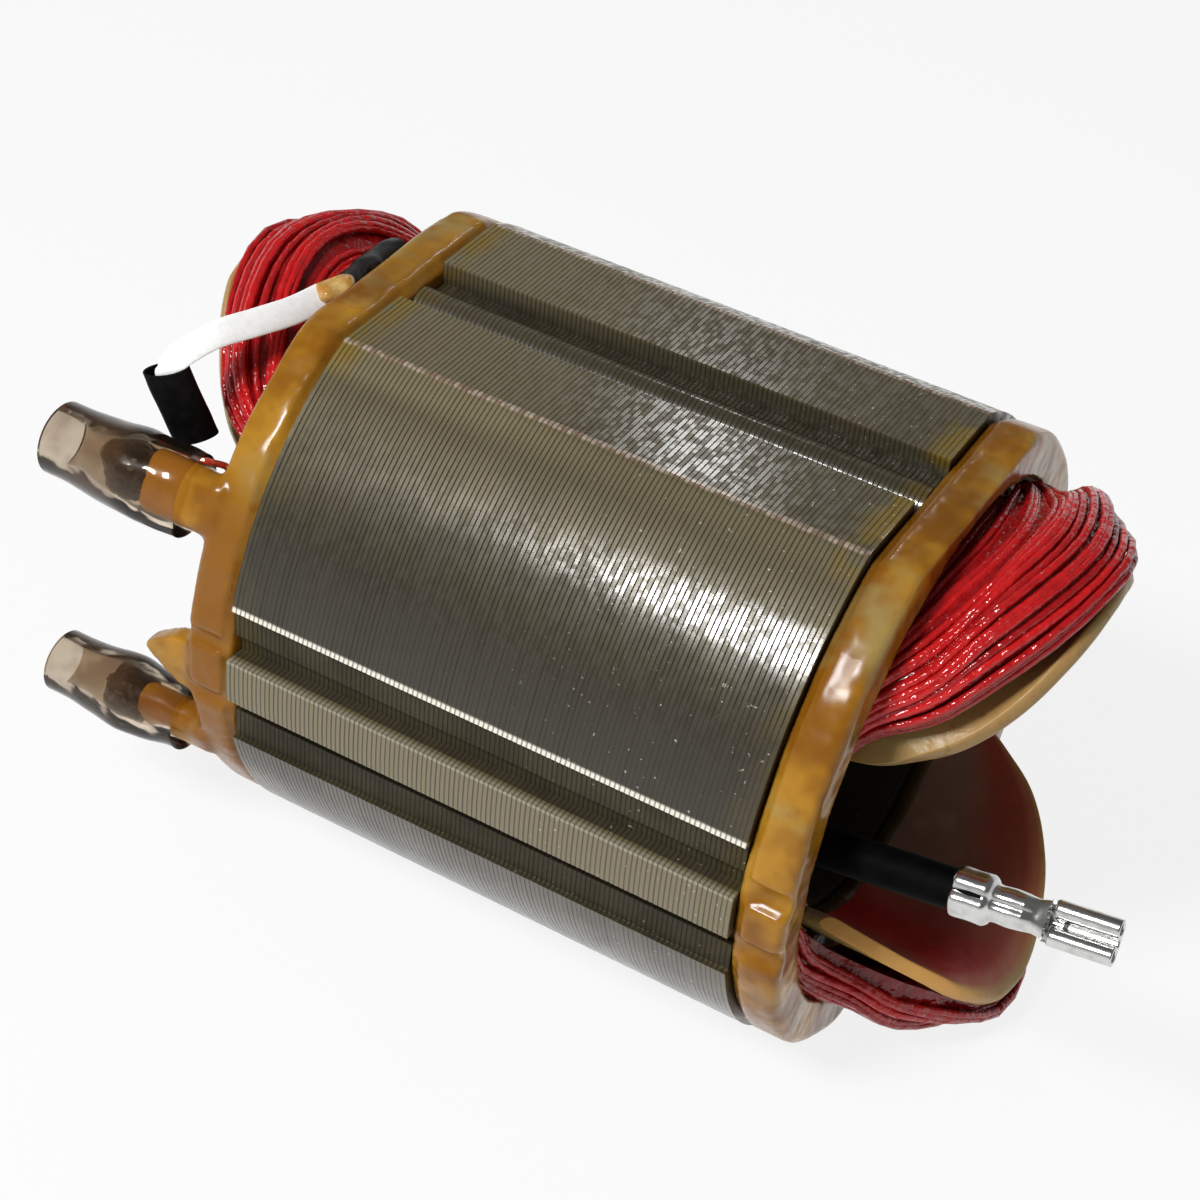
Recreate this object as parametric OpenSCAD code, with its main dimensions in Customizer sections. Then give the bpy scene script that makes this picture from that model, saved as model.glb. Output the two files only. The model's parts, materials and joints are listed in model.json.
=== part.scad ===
// Two-pole motor stator: a welded lamination stack with a rotor bore, two saddle-wound field
// coils in lined slots, moulded end insulators, terminals under clear sleeves, and leads.
// X is the rotor axis and Z the pole axis. The origin is the middle of the rotor bore.

/* [Lamination stack] */
// Number of laminations
lamination_count = 108; // [90:1:120]
// Thickness of one lamination
lamination_t = 0.5; // [0.4:0.05:0.6]
// Outer diameter of the stack
stack_d = 63; // [62:0.5:66]
// Distance across the two flats
flat_w = 57.4; // [56.4:0.2:59]
// Diameter of the rotor bore
bore_d = 37; // [35:0.5:38]
// Radial thickness of the pole horns
horn_t = 2.4; // [2:0.1:2.8]
// Radial depth of the winding slots
slot_depth = 4.7; // [4.2:0.1:5]
// Angle from the pole axis to the side of a pole body
pole_angle = 46; // [42:1:48]
// Angle from the pole axis to the tip of a pole horn
horn_angle = 70; // [66:1:74]

/* [Grooves and notches] */
// Width of the groove in each flat
groove_w = 7.6; // [6:0.2:9]
// Depth of the groove in each flat
groove_depth = 2.4; // [1.6:0.1:2.8]
// Width of the weld bead in each groove
bead_w = 4; // [3:0.2:5]
// Height of the weld bead
bead_h = 1.3; // [0.8:0.1:1.5]
// Width of the rib in each side notch
rib_w = 4.9; // [4:0.1:6]
// Width of the slit beside the rib
slit_w = 2.2; // [1.6:0.1:2.6]
// Depth of the slit
slit_depth = 2.4; // [1.8:0.1:3]
// Width of the shelf beyond the slit
shelf_w = 3.2; // [2.4:0.1:4]
// Depth of the shelf
shelf_depth = 1.6; // [1.4:0.1:2]

/* [End insulators] */
// Length of each collar along the axis
collar_len = 5; // [4:0.25:6]
// Radial wall of each collar
collar_wall = 4.5; // [4:0.1:4.8]
// How far the collars lie inside the stack's outline
collar_inset = 0.2; // [0.1:0.1:0.5]
// Radius of the collars' outer edge
collar_round = 0.9; // [0.4:0.1:1.2]
// Thickness of the plate that covers the pole ends
plate_t = 1.5; // [1:0.1:2]
// How far the plate lies inside the collar's outline
plate_inset = 0.7; // [0.3:0.1:1]
// Wall of the bell-mouth tongues
tongue_wall = 1.4; // [1:0.1:1.5]
// Clearance between the rotor bore and the tongues
tongue_clear = 0.9; // [0.6:0.1:1]
// Reach of the tongues beyond the stack
tongue_reach = 19.2; // [18:0.2:21]
// Angle from the pole axis to the side edge of a tongue
tongue_angle = 61; // [58:0.5:64]
// How far the plate's inner edge stands in front of the tongues
plate_step = 0.3; // [0.2:0.05:0.4]
// Height of the lip that flares at the crown of a tongue
lip_h = 4.8; // [4:0.1:5.4]

/* [Field coils] */
// Thickness of the slot liners
liner_t = 0.3; // [0.2:0.05:0.4]
// Clearance between iron, liners and windings
fit_clear = 0.1; // [0.05:0.05:0.15]
// Angle from the pole axis to the outer side of a coil in its slot
coil_angle = 76; // [72:1:78]
// Gap between the end turns and the tongues under them
tongue_gap = 0.6; // [0.4:0.1:0.8]
// How far the upper coil's end turns stand proud of the collars' inner edge
upper_bulge = 2.7; // [2:0.1:3]
// How far the lower coil's end turns stand proud of the collars' inner edge
lower_bulge = 1.9; // [1:0.1:2]
// Ridges that show the turns on each coil
turn_ridges = 12; // [6:1:14]
// Height of the ridges
ridge_h = 0.35; // [0.2:0.05:0.4]

/* [Terminals] */
// Depth of the posts' middle below the collar's outside
post_sink = 1.3; // [1:0.1:1.7]
// Length of the terminal posts
post_len = 7.5; // [6:0.5:9]
// Width of the upper post across its flat face
upper_post_w = 6.2; // [5.6:0.1:6.6]
// Width of the lower post across its flat face
lower_post_w = 5.4; // [4.8:0.1:5.8]
// Thickness of the terminal posts
post_t = 3.6; // [3:0.1:4]
// Angle of the upper post above the side of the stack
upper_post_angle = 30; // [28:1:33]
// Angle of the lower post below the side of the stack
lower_post_angle = 23; // [20:1:25]
// Wall of the clear sleeves
sleeve_wall = 0.35; // [0.25:0.05:0.5]
// Room between a post and its sleeve
sleeve_room = 0.85; // [0.8:0.05:1]
// How much narrower the clear sleeves are at their open end
sleeve_taper = 1.3; // [0.6:0.1:1.6]
// Length of the clear sleeves
sleeve_len = 15.5; // [14:0.5:18]
// Width of the terminal blades
blade_w = 3; // [2.4:0.1:3.4]
// Thickness of the terminal blades
blade_t = 0.8; // [0.5:0.1:1]
// Diameter of the solder joints
joint_d = 4.6; // [4:0.1:4.8]
// Length of the pointed tab between the posts
tab_len = 5.5; // [4:0.5:8]
// Width of the pointed tab
tab_w = 6.4; // [5:0.2:7]
// Thickness of the pointed tab
tab_t = 2.4; // [1.6:0.2:3]

/* [Leads] */
// Diameter of the winding wire
wire_d = 0.7; // [0.5:0.05:0.75]
// Diameter of the black lead
lead_d = 3.8; // [3:0.1:3.9]
// Reach of the black lead beyond the stack
lead_reach = 19; // [17:0.5:22]
// Height of the black lead in the gap between the coils
lead_rise = 3; // [2.6:0.1:3.4]
// How far the black lead climbs from the gap to its end
lead_climb = 2.2; // [1.5:0.1:3]
// Depth of the black lead below the coils' inner face
lead_sink = 0.7; // [0.5:0.1:1]
// Diameter of the conductor in the black lead
conductor_d = 2.1; // [1.6:0.1:2.2]
// Sheet thickness of the crimp terminal
crimp_wall = 0.35; // [0.25:0.05:0.5]
// Length of the crimp terminal's receptacle
receptacle_len = 5.8; // [5:0.2:8]
// Width of the receptacle over its rolled edges
receptacle_w = 4.2; // [4:0.1:4.8]
// Diameter of the receptacle's rolled edges
roll_d = 1.8; // [1.5:0.1:1.9]
// Width of the white sleeving
white_w = 2.8; // [2:0.1:3.2]
// Thickness of the white sleeving
white_t = 1.6; // [1.2:0.1:1.8]
// Height of the arch that the sleeved lead makes beside the coil
arch_h = 10; // [9:0.5:11]
// Width of the black sleeving
black_w = 4.6; // [4:0.1:5]
// Thickness of the black sleeving
black_t = 2; // [1.6:0.1:2.2]
// Diameter of the sleeving on the coil tail
tail_sleeve_d = 2.4; // [2:0.1:2.6]
// Diameter of the varnish bead at the white sleeving
bead_d = 3.2; // [2.6:0.1:3.4]

/* [Hidden] */
$fn = 96;

stack_l = lamination_count * lamination_t;
stack_end = stack_l / 2;
stack_r = stack_d / 2;
flat_h = flat_w / 2;
bore_r = bore_d / 2;
slot_in_r = bore_r + horn_t;
slot_out_r = slot_in_r + slot_depth;
collar_r = stack_r - collar_inset;
collar_in_r = collar_r - collar_wall;
collar_end = stack_end + collar_len;
post_r = collar_r - post_sink;
plate_end = stack_end + plate_t;
tongue_in_r = bore_r + tongue_clear;
tongue_out_r = tongue_in_r + tongue_wall;
// The tongues grow out of the plate, with their roots inside it
tongue_root = stack_end + plate_t / 3;
plate_in_r = tongue_in_r - plate_step;
plate_margin = 5;
lip_lean = 0.9;
liner_in_r = slot_in_r + fit_clear;
liner_out_r = slot_out_r - fit_clear;
coil_in_r = liner_in_r + liner_t + fit_clear;
coil_t = liner_out_r - liner_t - fit_clear - coil_in_r - ridge_h;
// Angle that a small length takes up at the slots
degree_at_slot = 180 / PI / coil_in_r;
liner_angle = pole_angle + fit_clear * degree_at_slot;
coil_in_angle = liner_angle + (liner_t + 2 * fit_clear) * degree_at_slot;
// Height of the rim above the plate, and how far out the end turns may stand inside the collar
rim_rise = stack_end + tongue_reach - plate_end;
end_turn_r = collar_in_r - 2 * fit_clear - ridge_h;
// Inner and outer turns of a coil from the slot to the crown: part of the rim's rise and part of the angle.
// At the drive end the outer turn lies over the lip
inner_turn = [[0.04, 1], [0.06, 0.9], [0.09, 0.7], [0.12, 0.36], [0.13, 0]];
outer_turn = [[0.04, 1], [0.06, 0.86], [0.18, 0.69], [0.56, 0.48], [0.89, 0]];
drive_turn = [[0.04, 1], [0.06, 0.86], [0.18, 0.69], [0.58, 0.49], [0.97, 0]];
bend_x = plate_end + rim_rise * outer_turn[0][0];
// Steps in the swept forms
tongue_columns = 36;
tongue_edge = 0.985;
lip_steps = 10;
turn_steps = 3;
ridge_points = 2;
under_points = 8;
cut = 1;

// Faces between neighbouring rings, two triangles for each side of a ring
function ring_walls(rings, n, closed) = [
    for (i = [0 : rings - (closed ? 1 : 2)])
        for (j = [0 : n - 1])
            let (k = (i + 1) % rings, m = (j + 1) % n)
                each [[i * n + j, i * n + m, k * n + m], [i * n + j, k * n + m, k * n + j]]
];
// End faces, as strips between the two sides of the first and the last ring
function ring_caps(rings, n) = let (b = (rings - 1) * n) [
    for (j = [0 : n / 2 - 2])
        each [
            [n - 1 - j, n - 2 - j, j + 1], [n - 1 - j, j + 1, j],
            [b + j, b + j + 1, b + n - 2 - j], [b + j, b + n - 2 - j, b + n - 1 - j]
        ]
];
function flatten(rings) = [for (ring = rings) each ring];

// A closed tube, or a loop of rings, from rings with the same number of points
module skin(rings, closed = false) {
    n = len(rings[0]);
    walls = ring_walls(len(rings), n, closed);
    polyhedron(points = flatten(rings), faces = closed ? walls : concat(walls, ring_caps(len(rings), n)));
}

function unit(v) = v / norm(v);
// Smooth curve through hand-chosen points, with steps between neighbours
function curve_point(a, b, c, d, t) =
    0.5 * (2 * b + (c - a) * t + (2 * a - 5 * b + 4 * c - d) * t * t
    + (3 * b - a - 3 * c + d) * t * t * t);
function curve(p, steps) = let (last = len(p) - 1) [
    for (i = [0 : last - 1])
        for (s = [0 : steps - 1])
            curve_point(p[max(i - 1, 0)], p[i], p[i + 1], p[min(i + 2, last)], s / steps),
    p[last]
];
// Rings of an oval section along a path, with the wide side square to the facing direction
function oval_rings(path, w, t, facing, sides) = let (last = len(path) - 1) [
    for (i = [0 : last])
        let (
            along = unit(path[min(i + 1, last)] - path[max(i - 1, 0)]),
            wide = unit(cross(along, facing)),
            thin = cross(wide, along)
        )
        [for (j = [0 : sides - 1])
            path[i] + wide * w / 2 * cos(j * 360 / sides) + thin * t / 2 * sin(j * 360 / sides)]
];
module cord(points, w, t, facing, sides = 8, steps = 3) {
    skin(oval_rings(curve(points, steps), w, t, facing, sides));
}

// Stands a flat section (Y, Z) up along the rotor axis, from x = from
module along_axis(from, length) {
    translate([from, 0, 0]) rotate([90, 0, 90]) linear_extrude(length) children();
}

// Half plane wedge about the side of the stack
module side_wedge(half_angle) {
    reach = stack_d;
    polygon([[0, 0], [reach, -reach * tan(half_angle)], [reach, reach * tan(half_angle)]]);
}
module ring_section(in_r, out_r) {
    difference() {
        circle(out_r);
        circle(in_r);
    }
}
module both_sides() {
    children();
    mirror([1, 0]) children();
}
module winding_space() {
    both_sides() intersection() {
        ring_section(slot_in_r, slot_out_r);
        side_wedge(90 - pole_angle);
    }
}
module flat_outline(inset) {
    intersection() {
        circle(stack_r - inset);
        square([stack_d, flat_w - 2 * inset], center = true);
    }
}
module flat_groove() {
    difference() {
        translate([-groove_w / 2, flat_h - groove_depth]) square([groove_w, groove_depth + cut]);
        // The weld bead is a round cap on the groove's floor
        bead_r = (bead_w * bead_w / 4 + bead_h * bead_h) / (2 * bead_h);
        translate([0, flat_h - groove_depth + bead_h - bead_r]) circle(bead_r);
    }
}
module side_notch() {
    slit_z = rib_w / 2;
    shelf_z = slit_z + slit_w;
    for (side = [0, 1]) mirror([0, side]) {
        translate([stack_r - slit_depth, slit_z]) square([slit_depth + cut, slit_w]);
        translate([stack_r - shelf_depth, shelf_z - cut]) square([shelf_depth + cut, shelf_w + cut]);
    }
}
module stack_section() {
    difference() {
        flat_outline(0);
        circle(bore_r);
        winding_space();
        both_sides() intersection() {
            circle((slot_in_r + slot_out_r) / 2);
            side_wedge(90 - horn_angle);
        }
        for (side = [0, 1]) mirror([0, side]) flat_groove();
        both_sides() side_notch();
    }
}
module lamination_stack() {
    color([0.36, 0.35, 0.31]) along_axis(-stack_end, stack_l) stack_section();
}

// Point at a distance along the rotor axis, and at a radius and an angle from the pole axis
function on_saddle(x, r, angle) = [x, -r * sin(angle), r * cos(angle)];

// Rim of a bell-mouth tongue at an angle from the pole axis, and the flare of its wall
function rim_x(angle) = plate_end + rim_rise * pow(1 - pow(abs(angle) / tongue_angle, 1.75), 0.52);
function wall_flare(x) = lip_h * pow(min(max((x - plate_end) / rim_rise, 0), 1), 7);
module tongue_profile() {
    first = 2;
    lip_x = function (k) plate_end + rim_rise * sqrt(k / lip_steps);
    polygon([
        [tongue_in_r, tongue_root],
        for (k = [first : lip_steps]) [tongue_in_r + wall_flare(lip_x(k)), lip_x(k)],
        for (k = [lip_steps : -1 : first]) [tongue_out_r + wall_flare(lip_x(k)), lip_x(k) - lip_lean],
        [tongue_out_r, tongue_root]
    ]);
}
module tongue_planform() {
    r = (tongue_in_r + tongue_out_r) / 2;
    angle = function (i) tongue_angle * tongue_edge * sin(180 * i / tongue_columns - 90);
    polygon([
        [stack_end, r * sin(angle(0))],
        for (i = [0 : tongue_columns]) [rim_x(angle(i)), r * sin(angle(i))],
        [stack_end, r * sin(angle(tongue_columns))]
    ]);
}
module tongue() {
    intersection() {
        rotate([90, 0, 90]) rotate_extrude() tongue_profile();
        linear_extrude(stack_d) tongue_planform();
    }
}

// Plate, collar and two tongues of one end insulator, drawn for the +X end
module end_insulator(notch_d) {
    // Plate over the pole ends, with the winding slots and the gaps between the tongues open
    along_axis(stack_end, plate_t) difference() {
        flat_outline(collar_inset + plate_inset);
        circle(plate_in_r);
        winding_space();
        both_sides() intersection() {
            circle((slot_in_r + slot_out_r) / 2);
            side_wedge(90 - tongue_angle - plate_margin);
        }
    }
    // Collar with a rounded outer edge, cut to the stack's flats
    difference() {
        intersection() {
            rotate([90, 0, 90]) rotate_extrude() {
                translate([collar_in_r, plate_end - plate_t / 3])
                    square([collar_wall, collar_len - plate_t * 2 / 3 - collar_round]);
                translate([collar_in_r, plate_end])
                    square([collar_wall - collar_round, collar_len - plate_t]);
                translate([collar_r - collar_round, collar_end - collar_round]) circle(collar_round);
            }
            along_axis(stack_end, collar_len) flat_outline(collar_inset);
        }
        for (side = [-1, 1], rib = [-1, 1])
            translate([stack_end, side * stack_r, rib * (rib_w + slit_w) / 2])
                rotate([0, 90, 0]) cylinder(d = notch_d, h = collar_len + cut);
    }
    for (half = [0, 180]) rotate([half, 0, 0]) tongue();
}
module drive_end_insulator() {
    color([0.80, 0.62, 0.30]) end_insulator(slit_w * 1.4);
}

// Frame of a terminal post: x outwards from the collar, y along its flat face, z away from the axis
module at_post(angle) {
    translate([-collar_end, 0, 0]) rotate([90 - angle, 0, 0]) rotate([0, 0, 180])
        translate([0, 0, post_r]) children();
}
module rounded_bar(w, t, from, length) {
    translate([from, 0, 0]) rotate([90, 0, 90]) linear_extrude(length) union() {
        square([w - t, t], center = true);
        for (side = [-1, 1]) translate([side * (w - t) / 2, 0]) circle(t / 2);
    }
}
blade_start = 3;
blade_len = 9;
module blade_bar(grow, from, length) {
    translate([from, -blade_w / 2 - grow, -blade_t / 2 - grow])
        cube([length, blade_w + 2 * grow, blade_t + 2 * grow]);
}
module post(w) {
    difference() {
        rounded_bar(w, post_t, -collar_round, post_len + collar_round);
        blade_bar(fit_clear / 2, blade_start, post_len);
    }
}
module pointed_tab() {
    tip = 0.3;
    tab_z = -1.4;
    translate([-collar_end, -stack_r + collar_wall / 2 - tab_t / 2, tab_z]) rotate([-90, 0, 0])
        linear_extrude(tab_t) polygon([
            [collar_round, -tab_w / 2],
            [-tab_len * 0.4, -tab_w * 0.4],
            [-tab_len, -tip],
            [-tab_len, tip],
            [-tab_len * 0.27, tab_w / 2],
            [collar_round, tab_w / 2]
        ]);
}
module connection_end_insulator() {
    color([0.82, 0.60, 0.24]) {
        mirror([1, 0, 0]) end_insulator(slit_w);
        at_post(upper_post_angle) post(upper_post_w);
        at_post(-lower_post_angle) post(lower_post_w);
        pointed_tab();
    }
}

// Turns of a coil round one end, as x and angle from one slot over the crown to the other slot
function half_turn(parts, angle) = [for (q = parts) [plate_end + rim_rise * q[0], angle * q[1]]];
function whole_turn(half) = let (last = len(half) - 1)
    curve([each half, for (i = [last - 1 : -1 : 0]) [half[i][0], -half[i][1]]], turn_steps);
inner_path = whole_turn(half_turn(inner_turn, coil_in_angle));
outer_path = whole_turn(half_turn(outer_turn, coil_angle));
drive_path = whole_turn(half_turn(drive_turn, coil_angle));
function ramp(v) = let (c = min(max(v, 0), 1)) c * c * (3 - 2 * c);
function coil_under(x) = max(coil_in_r, tongue_out_r + wall_flare(x + lip_lean) + tongue_gap);
// The end turns rise beyond the valley in which the tail sleeving lies
function coil_top(x, angle, bulge) =
    coil_in_r + coil_t + (end_turn_r - coil_in_r - coil_t) * ramp((x - bend_x) / plate_t)
    + bulge * ramp((x - collar_end - tail_sleeve_d) / collar_wall) * cos(angle);
// Ring of points round a coil's section at one step: ridged on top, plain underneath
function coil_point(i, end, bulge, p, on_top) =
    let (
        outer = end > 0 ? drive_path : outer_path,
        at = inner_path[i] * (1 - p) + outer[i] * p,
        under = coil_under(at[0]),
        side = 0.45 + 0.55 * (1 - pow(abs(2 * p - 1), 4)),
        r = on_top < 0 ? under : under + (coil_top(at[0], at[1], bulge) - under) * side + on_top
    )
    on_saddle(end * at[0], r, at[1]);
function coil_ring(i, end, bulge) = let (n = turn_ridges * ridge_points) [
    for (j = [0 : n]) coil_point(i, end, bulge, j / n, ridge_h * (j % ridge_points)),
    for (j = [under_points : -1 : 0]) coil_point(i, end, bulge, j / under_points, -1)
];
module coil(bulge) {
    last = len(inner_path) - 1;
    skin(
        [for (i = [0 : last]) coil_ring(i, 1, bulge), for (i = [last : -1 : 0]) coil_ring(i, -1, bulge)],
        closed = true
    );
}
module upper_coil() {
    color([0.66, 0.06, 0.07]) coil(upper_bulge);
}
module lower_coil() {
    color([0.58, 0.06, 0.08]) rotate([180, 0, 0]) coil(lower_bulge);
}

// Channel-shaped paper liner in one slot, level with the plates' outer faces
module liner() {
    mouth = 90 - coil_angle;
    inner = liner_in_r + liner_t;
    outer = liner_out_r - liner_t;
    along_axis(-plate_end, 2 * plate_end) difference() {
        intersection() {
            ring_section(liner_in_r, liner_out_r);
            side_wedge(90 - liner_angle);
        }
        intersection() {
            ring_section(inner, outer);
            side_wedge(90 - liner_angle - liner_t * degree_at_slot);
        }
        // Only the part above the mouth stays
        translate([0, -stack_d]) square([stack_d, stack_d]);
        side_wedge(mouth);
    }
}
module upper_far_liner() {
    color([0.78, 0.72, 0.55]) liner();
}
module upper_near_liner() {
    color([0.78, 0.72, 0.55]) mirror([0, 1, 0]) liner();
}
module lower_far_liner() {
    color([0.78, 0.72, 0.55]) mirror([0, 0, 1]) liner();
}
module lower_near_liner() {
    color([0.78, 0.72, 0.55]) rotate([180, 0, 0]) liner();
}

// Blade in its post, with a solder joint round its outer half
joint_start = post_len + 0.3;
joint_len = 3.6;
module upper_terminal() {
    color([0.72, 0.66, 0.48]) at_post(upper_post_angle) blade_bar(0, blade_start, blade_len);
}
module lower_terminal() {
    color([0.72, 0.66, 0.48]) at_post(-lower_post_angle) blade_bar(0, blade_start, blade_len);
}
module solder_joint() {
    difference() {
        translate([joint_start, 0, 0]) rotate([90, 0, 90]) rotate_extrude() intersection() {
            translate([0, joint_len / 2]) circle(joint_len * 0.66);
            square([joint_d / 2, joint_len]);
        }
        blade_bar(fit_clear / 2, 0, sleeve_len);
    }
}
module upper_solder_joint() {
    color([0.22, 0.20, 0.19]) at_post(upper_post_angle) solder_joint();
}
module lower_solder_joint() {
    color([0.26, 0.25, 0.25]) at_post(-lower_post_angle) solder_joint();
}

// Clear sleeves over the posts, straight to the solder joint and narrower to the open outer end
sleeve_start = 2.6;
module sleeve(post_w) {
    in_r = post_w / 2 + sleeve_room;
    end_r = in_r - sleeve_taper / 2;
    end_x = sleeve_start + sleeve_len;
    rotate([90, 0, 90]) rotate_extrude() polygon([
        [in_r, sleeve_start], [in_r, joint_start], [end_r, end_x],
        [end_r + sleeve_wall, end_x], [in_r + sleeve_wall, joint_start], [in_r + sleeve_wall, sleeve_start]
    ]);
}
module upper_sleeve() {
    color([0.90, 0.88, 0.80, 0.45]) at_post(upper_post_angle) sleeve(upper_post_w);
}
module lower_sleeve() {
    color([0.90, 0.88, 0.80, 0.45]) at_post(-lower_post_angle) sleeve(lower_post_w);
}

// Winding ends: off the coil at the collar's edge, round to the post and along it to the solder joint
tail_angle = 51.5;
tail_sink = 1.8;
module coil_tail(post_angle, post_w, edge) {
    turn = 90 - post_angle - tail_angle;
    near_turn = turn * 0.7;
    near_r = post_r - tail_sink;
    side = edge * (post_w + sleeve_room) / 2;
    front = wire_d / 2 + fit_clear;
    cord(
        [
            [front, edge * collar_in_r * sin(turn), collar_in_r * cos(turn) - post_r],
            [front, edge * near_r * sin(near_turn), near_r * cos(near_turn) - post_r],
            [front + wire_d, side, -post_t * 0.4],
            [sleeve_start, side, 0],
            [post_len * 2 / 3, side, 0],
            [joint_start - fit_clear, side, 0]
        ],
        wire_d, wire_d, [0, 0.1, 1]
    );
}
module upper_coil_tail() {
    color([0.72, 0.10, 0.06]) at_post(upper_post_angle) coil_tail(upper_post_angle, upper_post_w, -1);
}
module lower_coil_tail() {
    color([0.72, 0.10, 0.06]) at_post(-lower_post_angle) coil_tail(lower_post_angle, lower_post_w, 1);
}

// Sleeved lead at the connection end: tail sleeving, varnish bead, white and black sleeving.
// Its places lie between the top of the end turns and the middle of the upper post
turn_top = [-collar_end, 0, end_turn_r];
post_mid = [-collar_end, -post_r * cos(upper_post_angle), post_r * sin(upper_post_angle)];
function over_turns(share, above) = turn_top + [-tail_sleeve_d * 0.7, post_mid[1] * share, above];
function over_arch(share, ahead, above) =
    turn_top * (1 - share) + post_mid * share + arch_h * [-ahead, 0, above];
tail_route = [
    for (share = [-0.22, -0.12, 0.02, 0.12]) over_turns(share, tail_sleeve_d * (0.78 - 2.5 * share * share))
];
bead_at = over_turns(0.19, bead_d * 0.64);
white_route = [
    over_arch(0.255, 0.2, 0.49), over_arch(0.4, 0.26, 0.63), over_arch(0.56, 0.4, 0.81),
    over_arch(0.7, 0.55, 0.955), over_arch(0.81, 0.68, 1.015), over_arch(0.87, 0.79, 0.985)
];
black_route = [
    over_arch(0.872, 0.815, 0.87), over_arch(0.83, 0.78, 0.5), over_arch(0.785, 0.72, 0.07)
];
module tail_sleeving() {
    color([0.16, 0.16, 0.16]) cord(tail_route, tail_sleeve_d, tail_sleeve_d, [0, 0, 1]);
}
module varnish_bead() {
    color([0.72, 0.50, 0.16]) translate(bead_at) sphere(d = bead_d);
}
module white_sleeving() {
    color([0.94, 0.94, 0.92]) cord(white_route, white_w, white_t, [0.35, -0.7, 0.63], 10);
}
module black_sleeving() {
    color([0.06, 0.06, 0.06]) cord(black_route, black_w, black_t, [0.48, -0.82, 0], 12);
}

// Black lead in the gap between the coils, out at the drive end into its crimp terminal
lead_y = -coil_in_r - lead_sink;
lead_exit = [collar_end - lead_sink, lead_y + lead_sink, lead_rise];
lead_end = [stack_end + lead_reach, lead_y + lead_sink, lead_rise + lead_climb];
lead_route = [
    [-stack_end * 3 / 4, lead_y, lead_rise], [0, lead_y, lead_rise], [stack_end * 8 / 9, lead_y, lead_rise],
    lead_exit, (lead_exit + lead_end) / 2, lead_end
];
lead_slope = atan2(lead_end[2] - lead_exit[2], lead_end[0] - lead_exit[0]);
// The crimp terminal grips the insulation and the conductor, and its seams face up and outwards
insulation_grip = 2.8;
wire_grip_start = 0.6;
wire_grip = 3.4;
throat = 1.9;
seam_w = 0.5;
seam_turn = 45;
receptacle_start = wire_grip_start + wire_grip + throat;
insulation_bore = lead_d + 2 * fit_clear;
conductor_bore = conductor_d + 2 * fit_clear;
// The trough under the grips runs from the middle of one wall to the middle of the other
trough_in_d = conductor_bore + crimp_wall;
trough_out_d = insulation_bore + crimp_wall;
trough_start = 0.1;
module at_lead_end() {
    translate(lead_end) rotate([0, -lead_slope, 0]) children();
}
module black_lead() {
    color([0.05, 0.05, 0.05]) cord(lead_route, lead_d, lead_d, [0, 0, 1], 8, 4);
}
module lead_conductor() {
    color([0.72, 0.45, 0.25]) at_lead_end() rotate([0, 90, 0])
        cylinder(d = conductor_d, h = wire_grip_start + wire_grip);
}
module grip(bore, from, length) {
    translate([from, 0, 0]) rotate([90, 0, 90]) linear_extrude(length) difference() {
        ring_section(bore / 2, bore / 2 + crimp_wall);
        translate([-seam_w / 2, 0]) square([seam_w, bore]);
    }
}
module trough() {
    open_z = -trough_in_d / 2 + crimp_wall;
    along_axis(trough_start, receptacle_start + cut - trough_start) difference() {
        ring_section(trough_in_d / 2, trough_out_d / 2);
        translate([-trough_out_d, open_z]) square([2 * trough_out_d, 2 * trough_out_d]);
    }
}
module receptacle() {
    floor_z = -(trough_in_d + trough_out_d + 2 * crimp_wall) / 4;
    roll_y = (receptacle_w - roll_d) / 2;
    along_axis(receptacle_start, receptacle_len) {
        translate([-roll_y, floor_z]) square([2 * roll_y, crimp_wall]);
        for (side = [-1, 1]) translate([side * roll_y, floor_z + roll_d / 2])
            ring_section(roll_d / 2 - crimp_wall, roll_d / 2);
    }
}
module crimp_terminal() {
    color([0.80, 0.80, 0.80]) at_lead_end() rotate([seam_turn, 0, 0]) {
        grip(insulation_bore, -insulation_grip, insulation_grip + wire_grip_start);
        grip(conductor_bore, wire_grip_start, wire_grip);
        trough();
        receptacle();
    }
}

lamination_stack();
drive_end_insulator();
connection_end_insulator();
upper_coil();
lower_coil();
upper_near_liner();
upper_far_liner();
lower_near_liner();
lower_far_liner();
upper_terminal();
lower_terminal();
upper_solder_joint();
lower_solder_joint();
upper_sleeve();
lower_sleeve();
upper_coil_tail();
lower_coil_tail();
tail_sleeving();
varnish_bead();
white_sleeving();
black_sleeving();
black_lead();
lead_conductor();
crimp_terminal();
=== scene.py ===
"""Looks of a two-pole motor stator, built around its packed solids."""

import json
import math
import random

import bmesh
import bpy
from bpy.props import FloatProperty, FloatVectorProperty, IntProperty, PointerProperty
from mathutils import Matrix, Vector, noise

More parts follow.
